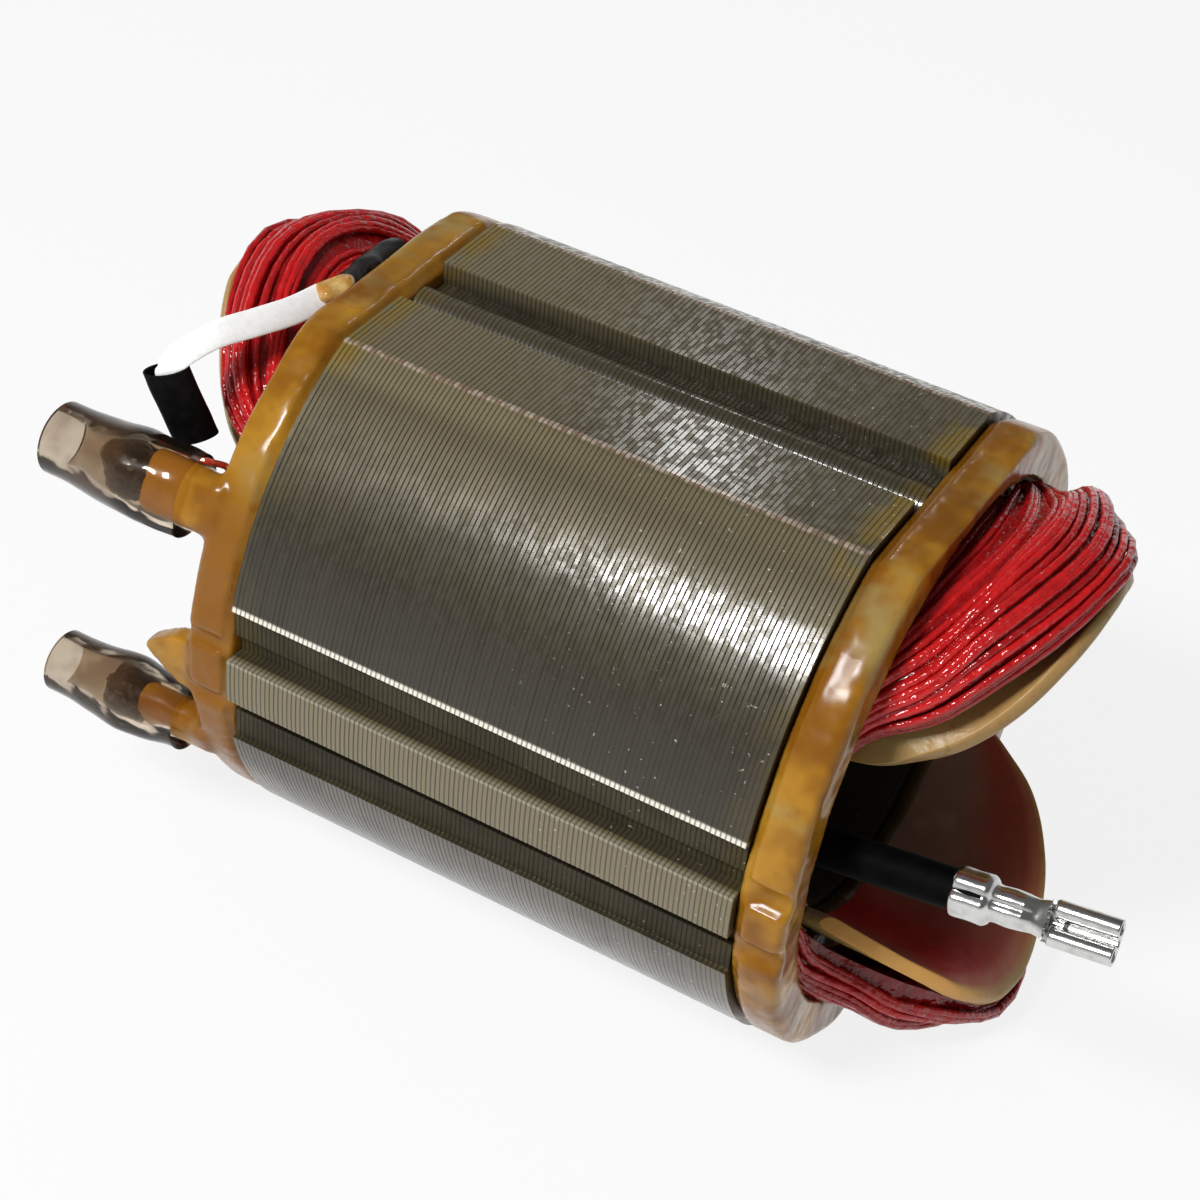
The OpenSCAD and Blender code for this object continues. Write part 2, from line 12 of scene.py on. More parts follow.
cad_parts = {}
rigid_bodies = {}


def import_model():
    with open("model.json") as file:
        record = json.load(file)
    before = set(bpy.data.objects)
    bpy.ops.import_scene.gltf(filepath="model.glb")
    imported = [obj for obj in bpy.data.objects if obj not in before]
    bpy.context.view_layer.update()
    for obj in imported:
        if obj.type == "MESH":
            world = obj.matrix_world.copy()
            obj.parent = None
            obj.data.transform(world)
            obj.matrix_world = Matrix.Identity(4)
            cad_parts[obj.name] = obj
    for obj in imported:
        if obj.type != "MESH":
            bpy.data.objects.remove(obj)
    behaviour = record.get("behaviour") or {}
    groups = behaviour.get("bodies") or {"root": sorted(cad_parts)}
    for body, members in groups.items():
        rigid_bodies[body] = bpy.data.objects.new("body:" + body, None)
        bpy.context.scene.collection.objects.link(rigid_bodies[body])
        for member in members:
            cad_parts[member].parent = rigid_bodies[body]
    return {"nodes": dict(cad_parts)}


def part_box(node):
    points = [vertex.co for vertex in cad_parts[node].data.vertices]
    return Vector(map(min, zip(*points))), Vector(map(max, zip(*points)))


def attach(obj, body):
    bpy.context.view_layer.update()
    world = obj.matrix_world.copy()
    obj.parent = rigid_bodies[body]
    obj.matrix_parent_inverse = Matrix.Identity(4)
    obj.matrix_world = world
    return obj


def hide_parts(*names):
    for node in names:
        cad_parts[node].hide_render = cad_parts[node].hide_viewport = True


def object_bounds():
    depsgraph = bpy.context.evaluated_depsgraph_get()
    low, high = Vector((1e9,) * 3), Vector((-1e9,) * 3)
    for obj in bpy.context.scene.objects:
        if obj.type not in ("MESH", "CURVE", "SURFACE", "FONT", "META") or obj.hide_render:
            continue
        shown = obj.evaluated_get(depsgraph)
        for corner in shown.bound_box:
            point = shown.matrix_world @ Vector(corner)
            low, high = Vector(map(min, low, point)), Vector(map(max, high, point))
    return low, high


bl_info = {
    "name": "Motor Stator Looks",
    "version": (1, 0, 0),
    "blender": (4, 5, 0),
    "location": "View3D > Sidebar > Stator",
    "description": "Dresses the solids of a motor stator with laminations, windings, varnish and sleeves",
    "category": "Object",
}

for leftover in list(bpy.data.objects):
    bpy.data.objects.remove(leftover)
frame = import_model()
CAD_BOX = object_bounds()

# Metres in a millimetre, a sheet in millimetres, the distance at which points join
MM = 0.001
SHEET = 0.5
JOIN = 1e-6
NOISE_SEED = 3
STACK_SEED = 11
UP = Vector((0, 0, 1))


def paint(code):
    """Linear colour from a six-digit screen colour."""
    parts = [int(code[i:i + 2], 16) / 255 for i in (0, 2, 4)]
    return tuple(c / 12.92 if c <= 0.04045 else ((c + 0.055) / 1.055) ** 2.4 for c in parts)


def length(name, description, value):
    """Setting of a length, given in millimetres."""
    return FloatProperty(name=name, description=description, default=value * MM, unit="LENGTH", precision=5)


def colour(part, code):
    """Setting of the colour of a part, given as a screen colour."""
    return FloatVectorProperty(
        name=part.removeprefix("the ").capitalize(), description="Colour of " + part, subtype="COLOR",
        size=3, min=0, max=1, default=paint(code))


def number(name, description, value):
    """Setting of a plain number."""
    return FloatProperty(name=name, description=description, default=value)


class StackSettings(bpy.types.PropertyGroup):
    """Sizes and colours of the lamination stack"""

    sheets: IntProperty(name="Sheets", description="Number of laminations", default=108, min=1)
    outer_from: length("Outer skin from", "Radius outside which sheets show", 26)
    seam_width: length("Seam width", "Width of the seam between two sheets", 0.14)
    seam_depth: length("Seam depth", "Depth of the seam between two sheets", 0.035)
    unevenness: length("Unevenness", "How far single sheets lie below their neighbours", 0.015)
    steel: colour("the varnished steel", "4b4431")
    # Dark steel: random darker patches, and painted shade on the lower part of the arcs above the notch lip
    steel_dark_and_shade: colour("the steel in its darker patches", "2c271a")
    # Pale steel: the flats and the rib face, with painted sheen on the upper arcs and a painted highlight on
    # the flats towards the connection end
    steel_pale_and_sheen: colour("the steel on the flats and the rib", "776d52")
    seam: colour("the seams between the sheets", "1d1a12")
    # Painted highlight: near-white for the bright line on the notch lip, glints on the rib and flat edges,
    # and glinting specks
    glint_tone: colour("the worn edges", "efeadb")
    amber: colour("varnish that ran over the sheets", "80681c")
    rust: colour("rust specks", "94705c")


class MouldingSettings(bpy.types.PropertyGroup):
    """Softness and colours of the end insulators"""

    grain: length("Grain", "Size of the cells that the mouldings are rebuilt from", 0.4)
    rounding: IntProperty(name="Rounding", description="Smoothing passes over the edges", default=6, min=0)
    amber: colour("the varnished moulding", "a97a22")
    # Thick varnish tone, also used for painted shade where the collars meet the stack
    honey_and_shade: colour("thick varnish", "80500f")
    clay: colour("the moulding where it shows", "998650")
    ivory: colour("the bare moulding at its lips", "a5824e")
    # Painted shade: the dark of the collars' bore and of the band where they meet the stack
    painted_shade: colour("burnt varnish in the corners", "1d130d")
    # Painted shade: the inside of the lower mouth, darker than its outside
    mouth_inside_shade: colour("the inside of the lower mouth", "7d5f50")
    maroon: colour("the winding seen dimly through the lower mouth", "8a4030")
    glow: colour("the winding that shows through the lower mouth", "9c1614")
    stain: colour("stains inside the lower mouth", "8a7660")
    edge: colour("the band inside the lower mouth's rim", "a9694c")
    gold: colour("the lit rim of the lower mouth", "dfa75c")


class WindingSettings(bpy.types.PropertyGroup):
    """Layout and colours of the field coils"""

    wire: length("Wire", "Diameter of the enamelled wire", 0.84)
    lanes: IntProperty(name="Lanes", description="Wires side by side on a coil", default=16, min=2)
    layers: IntProperty(name="Layers", description="Layers of wires that are built", default=2, min=1)
    waver: number("Waver", "How far a wire strays from its lane, in lanes", 1.2)
    red: colour("the upper coil's wires", "bf1b1d")
    wine: colour("the lower coil's wires", "b01a1a")
    shade: colour("the gaps between the wires", "640a0c")


class SleeveSettings(bpy.types.PropertyGroup):
    """Colours of liners, terminals, sleeves and leads"""

    wall: length("Sleeve wall", "Wall of the clear sleeves", 0.3)
    film: colour("the haze in the clear sleeves", "5d4a38")
    solder: colour("the burnt solder joints", "0c0a09")
    blade: colour("the terminal blades", "b9a069")
    tail: colour("the winding ends", "b5371f")
    white: colour("the woven sleeving", "ffffff")
    black: colour("the black sleeving and the lead", "050506")
    metal: colour("the crimp terminal", "d8d8d6")
    paper: colour("the slot liners", "c9bb8f")
    dark: colour("the sleeving on the winding end", "141213")
    varnish: colour("the bead of set varnish", "b07a2a")
    copper: colour("the lead's conductor", "b8774a")


class StageSettings(bpy.types.PropertyGroup):
    """Camera, lamps and room"""

    camera_at: FloatVectorProperty(
        name="Camera", description="Place of the camera", subtype="TRANSLATION", precision=5,
        default=(0.08448, -0.178812, 0.161688))
    look_at: FloatVectorProperty(
        name="Look at", description="Point in the middle of the view", subtype="TRANSLATION", precision=5,
        default=(-0.003911, -0.001128, 0.000855))
    roll: FloatProperty(
        name="Roll", description="Turn of the camera about its view", subtype="ANGLE",
        default=math.radians(-6.085))
    lens: number("Lens", "Focal length for a 36 mm sensor", 77.448)
    key_power: number("Key power", "Power of the main lamp", 3.6)
    back_power: number("Back power", "Power of the lamp behind the object", 0.08)
    sky: number("Sky", "Strength of the room's light", 1.0)


class Value:
    """A shader socket on which sums and products can be written as expressions."""

    def __init__(self, finish, socket):
        self.finish = finish
        self.socket = socket

    def _math(self, operation, first, second):
        return self.finish.node("ShaderNodeMath", {0: first, 1: second}, operation=operation)

    def __add__(self, other):
        return self._math("ADD", self, other)

    __radd__ = __add__

    def __sub__(self, other):
        return self._math("SUBTRACT", self, other)

    def __rsub__(self, other):
        return self._math("SUBTRACT", other, self)

    def __mul__(self, other):
        return self._math("MULTIPLY", self, other)

    __rmul__ = __mul__

    def __truediv__(self, other):
        return self._math("DIVIDE", self, other)

    def __abs__(self):
        return self._math("ABSOLUTE", self, 0.0)


class Nodes:
    """A node tree that is put together node by node."""

    def __init__(self, tree):
        self.tree = tree
        tree.nodes.clear()

    def node(self, kind, sockets=None, out=0, **settings):
        """Adds a node, sets it up, fills its sockets and returns one of its outputs."""
        made = self.tree.nodes.new(kind)
        for key, value in settings.items():
            setattr(made, key, value)
        for key, value in (sockets or {}).items():
            socket = self.pick(made.inputs, key)
            if isinstance(value, Value):
                self.tree.links.new(value.socket, socket)
            elif socket.type == "RGBA" and len(value) == 3:
                socket.default_value = (*value, 1)
            else:
                socket.default_value = value
        return Value(self, self.pick(made.outputs, out)) if len(made.outputs) else None

    @staticmethod
    def pick(sockets, key):
        """A socket by its number, its identifier or the name that it shows."""
        if isinstance(key, int):
            return sockets[key]
        for socket in sockets:
            if socket.identifier == key or (socket.name == key and socket.enabled):
                return socket
        raise KeyError(f"no socket {key}")

    def step(self, value, low, high):
        """Smooth step from 0 at low to 1 at high."""
        return self.node("ShaderNodeMapRange", {"Value": value, "From Min": low, "From Max": high},
                         out="Result", interpolation_type="SMOOTHSTEP")

    def fall(self, value, low, high):
        """Smooth step from 1 at low to 0 at high."""
        return 1 - self.step(value, low, high)

    def clamp(self, value):
        """The value, kept from 0 to 1."""
        return self.node("ShaderNodeClamp", {"Value": value})

    def mix(self, share, first, second):
        """Colour between two colours."""
        return self.node("ShaderNodeMix", {"Factor_Float": share, "A_Color": first, "B_Color": second},
                         out="Result_Color", data_type="RGBA")

    def coats(self, ground, *coats):
        """Colour of a ground under coats, each a share and a colour."""
        for share, tone in coats:
            ground = self.mix(share, ground, tone)
        return ground

    def blend(self, share, first, second):
        """Shader between two shaders."""
        return self.node("ShaderNodeMixShader", {0: share, 1: first, 2: second})

    def background_rays(self):
        """1 for the rays that see the background: from the camera, mirrored or let through."""
        rays = [self.node("ShaderNodeLightPath", out=name)
                for name in ("Is Camera Ray", "Is Glossy Ray", "Is Transmission Ray")]
        return self.clamp(rays[0] + rays[1] + rays[2])


class Finish(Nodes):
    """A material with its patterns in millimetres."""

    def __init__(self, name):
        self.material = bpy.data.materials.new(name)
        self.material.use_nodes = True
        super().__init__(self.material.node_tree)

    def place(self, scale=(1, 1, 1)):
        """Object coordinates in millimetres, stretched."""
        at = self.node("ShaderNodeTexCoord", out="Object")
        return self.node("ShaderNodeMapping", {"Vector": at, "Scale": [k / MM for k in scale]}, out="Vector")

    def axes(self):
        """The three object coordinates in millimetres."""
        at = self.place()
        return [self.node("ShaderNodeSeparateXYZ", {"Vector": at}, out=name) for name in "XYZ"]

    def cloud(self, scale, detail=3.0, where=None):
        """Soft noise from 0 to 1, with its scale in cells per millimetre."""
        return self.node("ShaderNodeTexNoise", {
            "Vector": where or self.place(), "Scale": scale, "Detail": detail, "Roughness": 0.55}, out="Fac")

    def carried(self, name):
        """A value that the points of the mesh carry."""
        return self.node("ShaderNodeAttribute", out="Fac", attribute_name=name)

    def relief(self, height, depth, strength):
        """Normal of a surface whose height, from 0 to 1, is depth millimetres."""
        return self.node("ShaderNodeBump", {
            "Height": height, "Distance": depth * MM, "Strength": strength}, out="Normal")

    def surface(self, **sockets):
        """Principled surface; underscores in names stand for spaces."""
        names = {key.replace("_", " "): value for key, value in sockets.items()}
        return self.node("ShaderNodeBsdfPrincipled", names, out="BSDF")

    def close(self, shader):
        """Ends the material with its surface."""
        self.node("ShaderNodeOutputMaterial", {"Surface": shader})
        return self.material


# Landmarks of the stack in millimetres; tone of the painted shade in its depths, and tones of the clear film
FLAT_EDGE_Y, LIP_Z, RIB_EDGE_Z = 12.9, 8.0, 2.35
DEPTH_SHADE = (0.006, 0.005, 0.005)
FILM_LIGHT = (0.94, 0.87, 0.77)
FILM_BROWN = "5a3f26"


def steel_finish(s):
    """Varnished sheet steel: seams, dashes of gloss, stained flats, painted highlights and sheen, and painted
    shade in notches, bore, grooves and lower arcs.
    """
    f = Finish("varnished_laminations")
    x, y, z = f.axes()
    aside, height = abs(y), abs(z)
    sheet = f.node("ShaderNodeMath", {0: x / SHEET}, operation="FLOOR")
    spot = f.node("ShaderNodeCombineXYZ", {"X": sheet * 0.9, "Y": y * 0.6, "Z": z * 0.6})
    dash = f.step(f.cloud(1.0, where=spot), 0.42, 0.58)
    off_seam = f.node("ShaderNodeMath", {0: x, 1: SHEET / 2}, operation="PINGPONG")
    seam = f.fall(off_seam, 0.05, 0.12)
    patch = f.step(f.cloud(0.16, 4.0), 0.38, 0.66)
    fleck = f.step(f.cloud(1.9, 2.0), 0.69, 0.75) * f.step(x, -6.0, 20.0)

    on_flat = f.step(height, 26.5, 28.2)
    flat_edge = on_flat * f.fall(abs(aside - FLAT_EDGE_Y), 0.15, 0.5)
    flat_end = f.step(abs(x), 23.5, 26.0) * (0.15 + 0.85 * on_flat)
    # Painted shade: the lower part of the arc above the notch lip is darker
    shaded_low_arc = f.step(aside, 20.0, 24.0) * f.step(z, 7.5, 9.0) * f.fall(z, 14.0, 22.0)
    sheen_arc = f.step(aside, 12.5, 14.0) * f.step(z, 20.0, 26.0)
    rib_face = f.step(aside, 30.2, 30.5) * f.fall(height, 5.0, 5.5)
    rib_edge = f.step(aside, 30.6, 31.0) * f.fall(abs(z - RIB_EDGE_Z), 0.08, 0.3)
    lip = f.step(aside, 29.6, 30.2) * f.fall(abs(z - LIP_Z), 0.2, 0.5)
    notch = f.fall(aside, 30.2, 30.7) * f.step(aside, 26.0, 27.0) * f.fall(height, 7.7, 7.9)
    groove = f.step(height, 24.5, 25.5) * f.fall(height, 28.3, 28.6) * f.fall(aside, 4.6, 5.0)
    bore = f.fall(y * y + z * z, 600.0, 676.0)
    raised = f.step(z, 12.0, 20.0)

    # Paler flats and rib face; painted highlight on the flats, strongest towards the connection end, and
    # painted sheen on the upper arcs
    pale_and_sheen = on_flat * (0.9 - 0.6 * f.step(x, -22.0, 5.0)) + rib_face + 0.4 * sheen_arc
    stain = flat_end * f.step(f.cloud(0.22), 0.36, 0.56)
    # Painted highlights: a bright line along the notch lip, glints on the rib edge and flat edge, and
    # glinting specks
    glinting = f.clamp(lip + 0.2 * rib_edge + 0.3 * flat_edge * dash + 0.5 * fleck)
    # Painted shade in the notches, the bore and the groove; in the groove it also stands for the dark weld
    # bead
    depth_shade = f.clamp(notch * (0.55 - 0.3 * f.step(z, 0.0, 2.0)) + 0.55 * groove + bore)
    tone = f.coats(
        s.steel,
        (0.1 * dash + 0.45 * patch, s.steel_dark_and_shade),
        (0.85 * shaded_low_arc, s.steel_dark_and_shade),
        (pale_and_sheen, s.steel_pale_and_sheen),
        (0.8 * stain, s.amber),
        (0.5 * flat_edge, s.rust),
        (0.9 * glinting, s.glint_tone),
        (0.6 * seam, s.seam),
        (0.75 * depth_shade, DEPTH_SHADE))
    gloss = (raised * (1 - 0.8 * dash) + 0.75 * (1 - raised)) * (1 - f.clamp(notch + bore))
    bumps = f.relief(f.cloud(0.8, 2.0, f.place((1.8, 0.7, 0.7))), 0.1, 0.06)
    return f.close(f.surface(
        Base_Color=tone, Metallic=0.15 * (1 - depth_shade), Roughness=0.38 + 0.1 * patch + 0.2 * notch,
        Specular_IOR_Level=0.2, Coat_Weight=gloss, Coat_Roughness=0.16, Normal=bumps))


def moulding_finish(name, s):
    """Amber varnish of uneven thickness over a clay-coloured moulding, with painted shade in the bore and
    where the collars meet the stack.
    """
    f = Finish(name)
    x, y, z = f.axes()
    along, aside = abs(x), abs(y)
    cloud = f.cloud(0.13)
    fine = f.cloud(0.6, 4.0)
    thin = f.step(f.cloud(0.11, where=f.place((1, 1.3, 0.9))), 0.52, 0.7)
    connection_side = f.fall(x, -29.0, -26.0) * f.fall(along, 32.0, 33.0) * f.fall(z, 14.0, 22.0)
    # Painted shade: a dark band on the collars' tops where they meet the stack, at the end of the stack's
    # groove, and in the bore
    burnt = f.step(z, 21.0, 26.0) * f.fall(along, 27.8, 29.2)
    groove_mouth = f.step(z, 22.0, 26.0) * f.fall(aside, 4.0, 7.5) * f.fall(along, 30.5, 32.0)
    dark = f.clamp(burnt + 0.7 * groove_mouth)
    bore = f.fall(y * y + z * z, 560.0, 660.0)

    tone = f.coats(
        s.amber,
        (f.step(cloud, 0.36, 0.62), s.honey_and_shade),
        (0.75 * thin, s.clay),
        (0.35 * f.step(fine, 0.58, 0.75), s.honey_and_shade),
        (0.9 * connection_side, s.honey_and_shade),
        (0.45 * dark, s.honey_and_shade),
        (0.92 * bore + 0.2 * dark * (1 - bore), s.painted_shade))
    bumps = f.relief(f.cloud(0.3, 1.0), 0.6, 0.6)
    return f.close(f.surface(
        Base_Color=tone, Roughness=0.12 + 0.2 * fine, Specular_IOR_Level=0.22, Normal=bumps,
        Coat_Weight=0.07, Coat_Roughness=0.04, Subsurface_Weight=0.25, Subsurface_Scale=1.0,
        Subsurface_Radius=(0.0022, 0.0012, 0.0004)))


def mouth_finish(name, s, lower):
    """Bell-mouth tongue, ivory with stains; the lower one's inside is darker as painted shade, and through it
    the winding glows.
    """
    f = Finish(name)
    rim = f.carried("rim")
    cloud = f.cloud(0.22, 4.0)
    fine = f.cloud(0.9, 4.0)
    tone = f.coats(
        s.ivory,
        (0.8 * f.step(cloud, 0.42, 0.66), s.clay),
        (0.5 * f.step(fine, 0.58, 0.72), s.honey_and_shade))
    if lower:
        y, z = f.axes()[1:]
        at_rim = f.step(rim, 0.93, 0.985)
        # The inside is darker than the outside as painted shade; the winding shows through it
        shade = f.coats(
            s.mouth_inside_shade,
            (0.5 * f.step(cloud, 0.5, 0.68), s.stain),
            (f.step(y, -6.0, 12.0) * f.step(rim, 0.3, 0.7), s.maroon),
            (0.9 * f.fall(y, -7.0, 6.0) * f.fall(z, -18.0, -12.0), s.glow),
            (0.6 * f.step(rim, 0.84, 0.93), s.edge))
        tone = f.coats(
            tone,
            (f.carried("inside") * (1 - at_rim), shade),
            (0.8 * f.fall(y, -13.0, -3.0) * at_rim, s.gold))
    else:
        tone = f.mix(0.6 * f.fall(rim, 0.1, 0.5), tone, s.honey_and_shade)
    bumps = f.relief(f.cloud(0.5), 0.3, 0.5)
    return f.close(f.surface(
        Base_Color=tone, Roughness=0.22 + 0.25 * fine, Specular_IOR_Level=0.1 if lower else 0.25,
        Normal=bumps, Subsurface_Weight=0.15, Subsurface_Scale=1.0,
        Subsurface_Radius=(0.0016, 0.001, 0.0006)))


def enamel_finish(name, tone, shade):
    """Red enamelled wire under clear varnish, each wire a little lighter or darker, with painted shade on the
    core and the lower layer.
    """
    f = Finish(name)
    cloud = f.cloud(0.3)
    base = f.mix(0.7 * f.carried("wire_tone_and_shade") + 0.25 * f.step(cloud, 0.5, 0.72), tone, shade)
    bumps = f.relief(f.cloud(0.7, 2.0), 0.6, 0.8)
    return f.close(f.surface(
        Base_Color=base, Roughness=0.1 + 0.12 * cloud, Specular_IOR_Level=0.42, Normal=bumps))


def plain_finish(name, tone, second, rough, metal=0.0, grain=1.0, depth=0.03, coat=0.0, shine=0.5):
    """Cloudy finish between a tone and a second tone, a screen colour, with a fine grain."""
    f = Finish(name)
    cloud = f.cloud(grain, 4.0)
    base = f.mix(f.step(cloud, 0.35, 0.7), tone, paint(second))
    bumps = f.relief(f.cloud(grain * 3), depth, 0.6)
    return f.close(f.surface(
        Base_Color=base, Roughness=rough - 0.1 + 0.2 * cloud, Metallic=metal, Specular_IOR_Level=shine,
        Coat_Weight=coat, Coat_Roughness=0.08, Normal=bumps))


def film_finish(s):
    """Thin clear film: mostly see-through, tinted, with the gloss of its skin."""
    f = Finish("clear_film")
    over_post = f.step(f.axes()[0], -42.5, -39.5)
    cloud = f.cloud(0.22)
    tint = f.mix(f.step(cloud, 0.4, 0.6), s.film, paint(FILM_BROWN))
    clear = f.node("ShaderNodeBsdfTransparent", {"Color": FILM_LIGHT}, out="BSDF")
    haze = f.surface(Base_Color=tint, Roughness=0.25)
    share = (0.24 + 0.2 * f.step(cloud, 0.4, 0.7)) * (1 - 0.75 * over_post)
    bumps = f.relief(f.cloud(0.4, 1.0), 0.4, 0.4)
    skin = f.surface(Base_Color=(1, 1, 1), Metallic=1.0, Roughness=0.08, Normal=bumps)
    gloss = f.node("ShaderNodeLayerWeight", {"Blend": 0.22}, out="Fresnel")
    return f.close(f.blend(gloss, f.blend(share, clear, haze), skin))


def curve(points, steps):
    """Smooth run through given points, as many dimensions as they have."""
    last = len(points) - 1
    run = []
    for i in range(last):
        a, b, c, d = points[max(i - 1, 0)], points[i], points[i + 1], points[min(i + 2, last)]
        for s in range(steps):
            t = s / steps
            run.append(0.5 * (2 * b + (c - a) * t + (2 * a - 5 * b + 4 * c - d) * t ** 2
                              + (3 * b - a - 3 * c + d) * t ** 3))
    return run + [points[last]]


def ring_place(at, along, facing, wide, thin):
    """Matrix that lays a unit circle square to a direction; thin is its half size along facing."""
    along = along.normalized()
    side = facing.cross(along).normalized()
    out = along.cross(side)
    place = Matrix((side * wide, out * thin, along)).transposed().to_4x4()
    place.translation = at
    return place


def extruded(bm, edges):
    """Extrudes a ring of edges and returns the new points and the new ring."""
    made = bmesh.ops.extrude_edge_only(bm, edges=edges)["geom"]
    points = [g for g in made if isinstance(g, bmesh.types.BMVert)]
    fresh = set(points)
    return points, [g for g in made if isinstance(g, bmesh.types.BMEdge) and set(g.verts) <= fresh]


def sweep(places, sides, closed=False, caps=True):
    """Mesh of a ring that is extruded from each place to the next."""
    bm = bmesh.new()
    bmesh.ops.create_circle(bm, segments=sides, radius=1, matrix=places[0])
    first = edges = bm.edges[:]
    for before, after in zip(places, places[1:]):
        points, edges = extruded(bm, edges)
        bmesh.ops.transform(bm, matrix=after @ before.inverted(), verts=points)
    if closed:
        bmesh.ops.bridge_loops(bm, edges=first + edges)
    elif caps:
        for rim in (first, edges):
            bmesh.ops.edgeloop_fill(bm, edges=rim)
    bmesh.ops.recalc_face_normals(bm, faces=bm.faces)
    return bm


def run_places(points, facing, wide, thin):
    """Ring places along a run; wide and thin are half sizes or functions of its share."""
    last = len(points) - 1

    def size(value, i):
        return value(i / last) if callable(value) else value

    return [
        ring_place(p, points[min(i + 1, last)] - points[max(i - 1, 0)], facing, size(wide, i), size(thin, i))
        for i, p in enumerate(points)
    ]


def merged_copy(node):
    """The mesh of a solid with its corners joined."""
    bm = bmesh.new()
    bm.from_mesh(frame["nodes"][node].data)
    bmesh.ops.remove_doubles(bm, verts=bm.verts, dist=JOIN)
    return bm


def cut(bm, x, **options):
    """Cuts a mesh square to its x axis, at a place in millimetres."""
    bmesh.ops.bisect_plane(
        bm, geom=bm.verts[:] + bm.edges[:] + bm.faces[:], dist=JOIN / 10, plane_co=(x * MM, 0, 0),
        plane_no=(1, 0, 0), **options)


def mesh_of(bm, name):
    """A mesh from a bmesh, which is freed."""
    mesh = bpy.data.meshes.new(name)
    bm.to_mesh(mesh)
    bm.free()
    return mesh


def placed(name, data):
    """A new object in the scene."""
    made = bpy.data.objects.new(name, data)
    bpy.context.scene.collection.objects.link(made)
    return made


def add_piece(name, bm, finishes, nodes, sharp=40):
    """Makes a piece that stands for its solids; edges from the angle sharp on are hard."""
    bm.normal_update()
    for face in bm.faces:
        face.smooth = True
    for edge in bm.edges:
        edge.smooth = edge.calc_face_angle(0.0) < math.radians(sharp)
    mesh = mesh_of(bm, name)
    for finish in finishes:
        mesh.materials.append(finish)
    piece = placed(name, mesh)
    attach(piece, "root")
    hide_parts(*nodes)


def modified(bm, modifiers):
    """The mesh after a list of modifiers, each a type and its settings."""
    mesh = mesh_of(bm, "form")
    form = placed("form", mesh)
    for kind, settings in modifiers:
        modifier = form.modifiers.new(kind.lower(), kind)
        for key, value in settings.items():
            setattr(modifier, key, value)
    result = form.evaluated_get(bpy.context.evaluated_depsgraph_get())
    made = bmesh.new()
    made.from_mesh(result.to_mesh())
    result.to_mesh_clear()
    bpy.data.objects.remove(form)
    bpy.data.meshes.remove(mesh)
    return made


def softened(bm, grain, rounding):
    """The same form rebuilt from small cells and smoothed, so that its edges are round."""
    return modified(bm, [("REMESH", {"mode": "VOXEL", "voxel_size": grain}),
                         ("SMOOTH", {"factor": 0.5, "iterations": rounding})])


def crumple(bm, cells, depth):
    """Moves the points of a mesh a little in a fixed pattern."""
    for v in bm.verts:
        v.co += noise.noise_vector(v.co / MM * cells) * depth * MM


def dress_node(node, finish):
    """Gives a solid that keeps its own shape a finish."""
    data = frame["nodes"][node].data
    data.materials.clear()
    data.materials.append(finish)


class STATOR_OT_laminations(bpy.types.Operator):
    """Build the stack sheet by sheet, with a seam after each one"""

    bl_idname = "stator.laminations"
    bl_label = "Laminations"

    def execute(self, context):
        s = context.scene.stator_stack
        chance = random.Random(STACK_SEED)
        bm = merged_copy("lamination_stack")
        skin = [f for f in bm.faces if abs(f.normal.x) < 0.5
                and all(v.co.yz.length > s.outer_from for v in f.verts)]
        bmesh.ops.delete(bm, geom=skin, context="FACES")
        low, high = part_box("lamination_stack")
        edges = [e for e in bm.edges if e.is_boundary and all(v.co.x > 0 for v in e.verts)]
        if not edges:
            raise RuntimeError("the stack has no outline at its end")
        sheet = (high.x - low.x) / s.sheets
        reach = high.y
        scale_now = 1.0
        for k in range(s.sheets):
            crest = 1 - chance.random() * s.unevenness / reach
            seam = 1 - (s.seam_depth + chance.random() * s.unevenness) / reach
            last = k == s.sheets - 1
            steps = [(s.seam_width / 2, crest), (sheet - s.seam_width, crest),
                     (s.seam_width / 2, 1.0 if last else seam)]
            for go, scale in steps:
                points, edges = extruded(bm, edges)
                bmesh.ops.translate(bm, vec=(-go, 0, 0), verts=points)
                bmesh.ops.scale(bm, vec=(1, scale / scale_now, scale / scale_now), verts=points)
                scale_now = scale
        bmesh.ops.remove_doubles(bm, verts=bm.verts, dist=2 * JOIN)
        bmesh.ops.recalc_face_normals(bm, faces=bm.faces)
        add_piece("laminations", bm, [steel_finish(s)], ["lamination_stack"], sharp=12)
        return {"FINISHED"}


# Saddle of tongues and coils, in millimetres and degrees, as in the solids
PLATE_END, RIM_RISE, COLLAR_END, COLLAR_WALL, PLATE_T = 28.5, 17.7, 32.0, 4.5, 1.5
COIL_IN_R, COIL_T, TONGUE_OUT_R, TONGUE_GAP = 21.4, 3.35, 20.8, 0.6
LIP_H, LIP_LEAN, LIP_POWER = 4.8, 0.9, 7
END_TURN_R, VALLEY, COIL_IN_ANGLE, COIL_ANGLE = 26.25, 2.4, 47.61, 76.0
# Half an end turn from slot to crown, in shares of the rim's rise and the coil's angle
INNER_TURN = ((0.04, 1), (0.06, 0.9), (0.09, 0.7), (0.12, 0.36), (0.13, 0))
RIM_TURN = ((0.04, 1), (0.06, 0.86), (0.18, 0.69), (0.6, 0.5), (0.95, 0))
DRIVE_TURN = ((0.04, 1), (0.06, 0.86), (0.18, 0.69), (0.58, 0.49), (0.97, 0))
BEND_X = PLATE_END + RIM_RISE * RIM_TURN[0][0]


def lip_flare(x):
    """How far the wall of a tongue flares at a place along the rotor axis."""
    return LIP_H * min(max((x - PLATE_END) / RIM_RISE, 0), 1) ** LIP_POWER


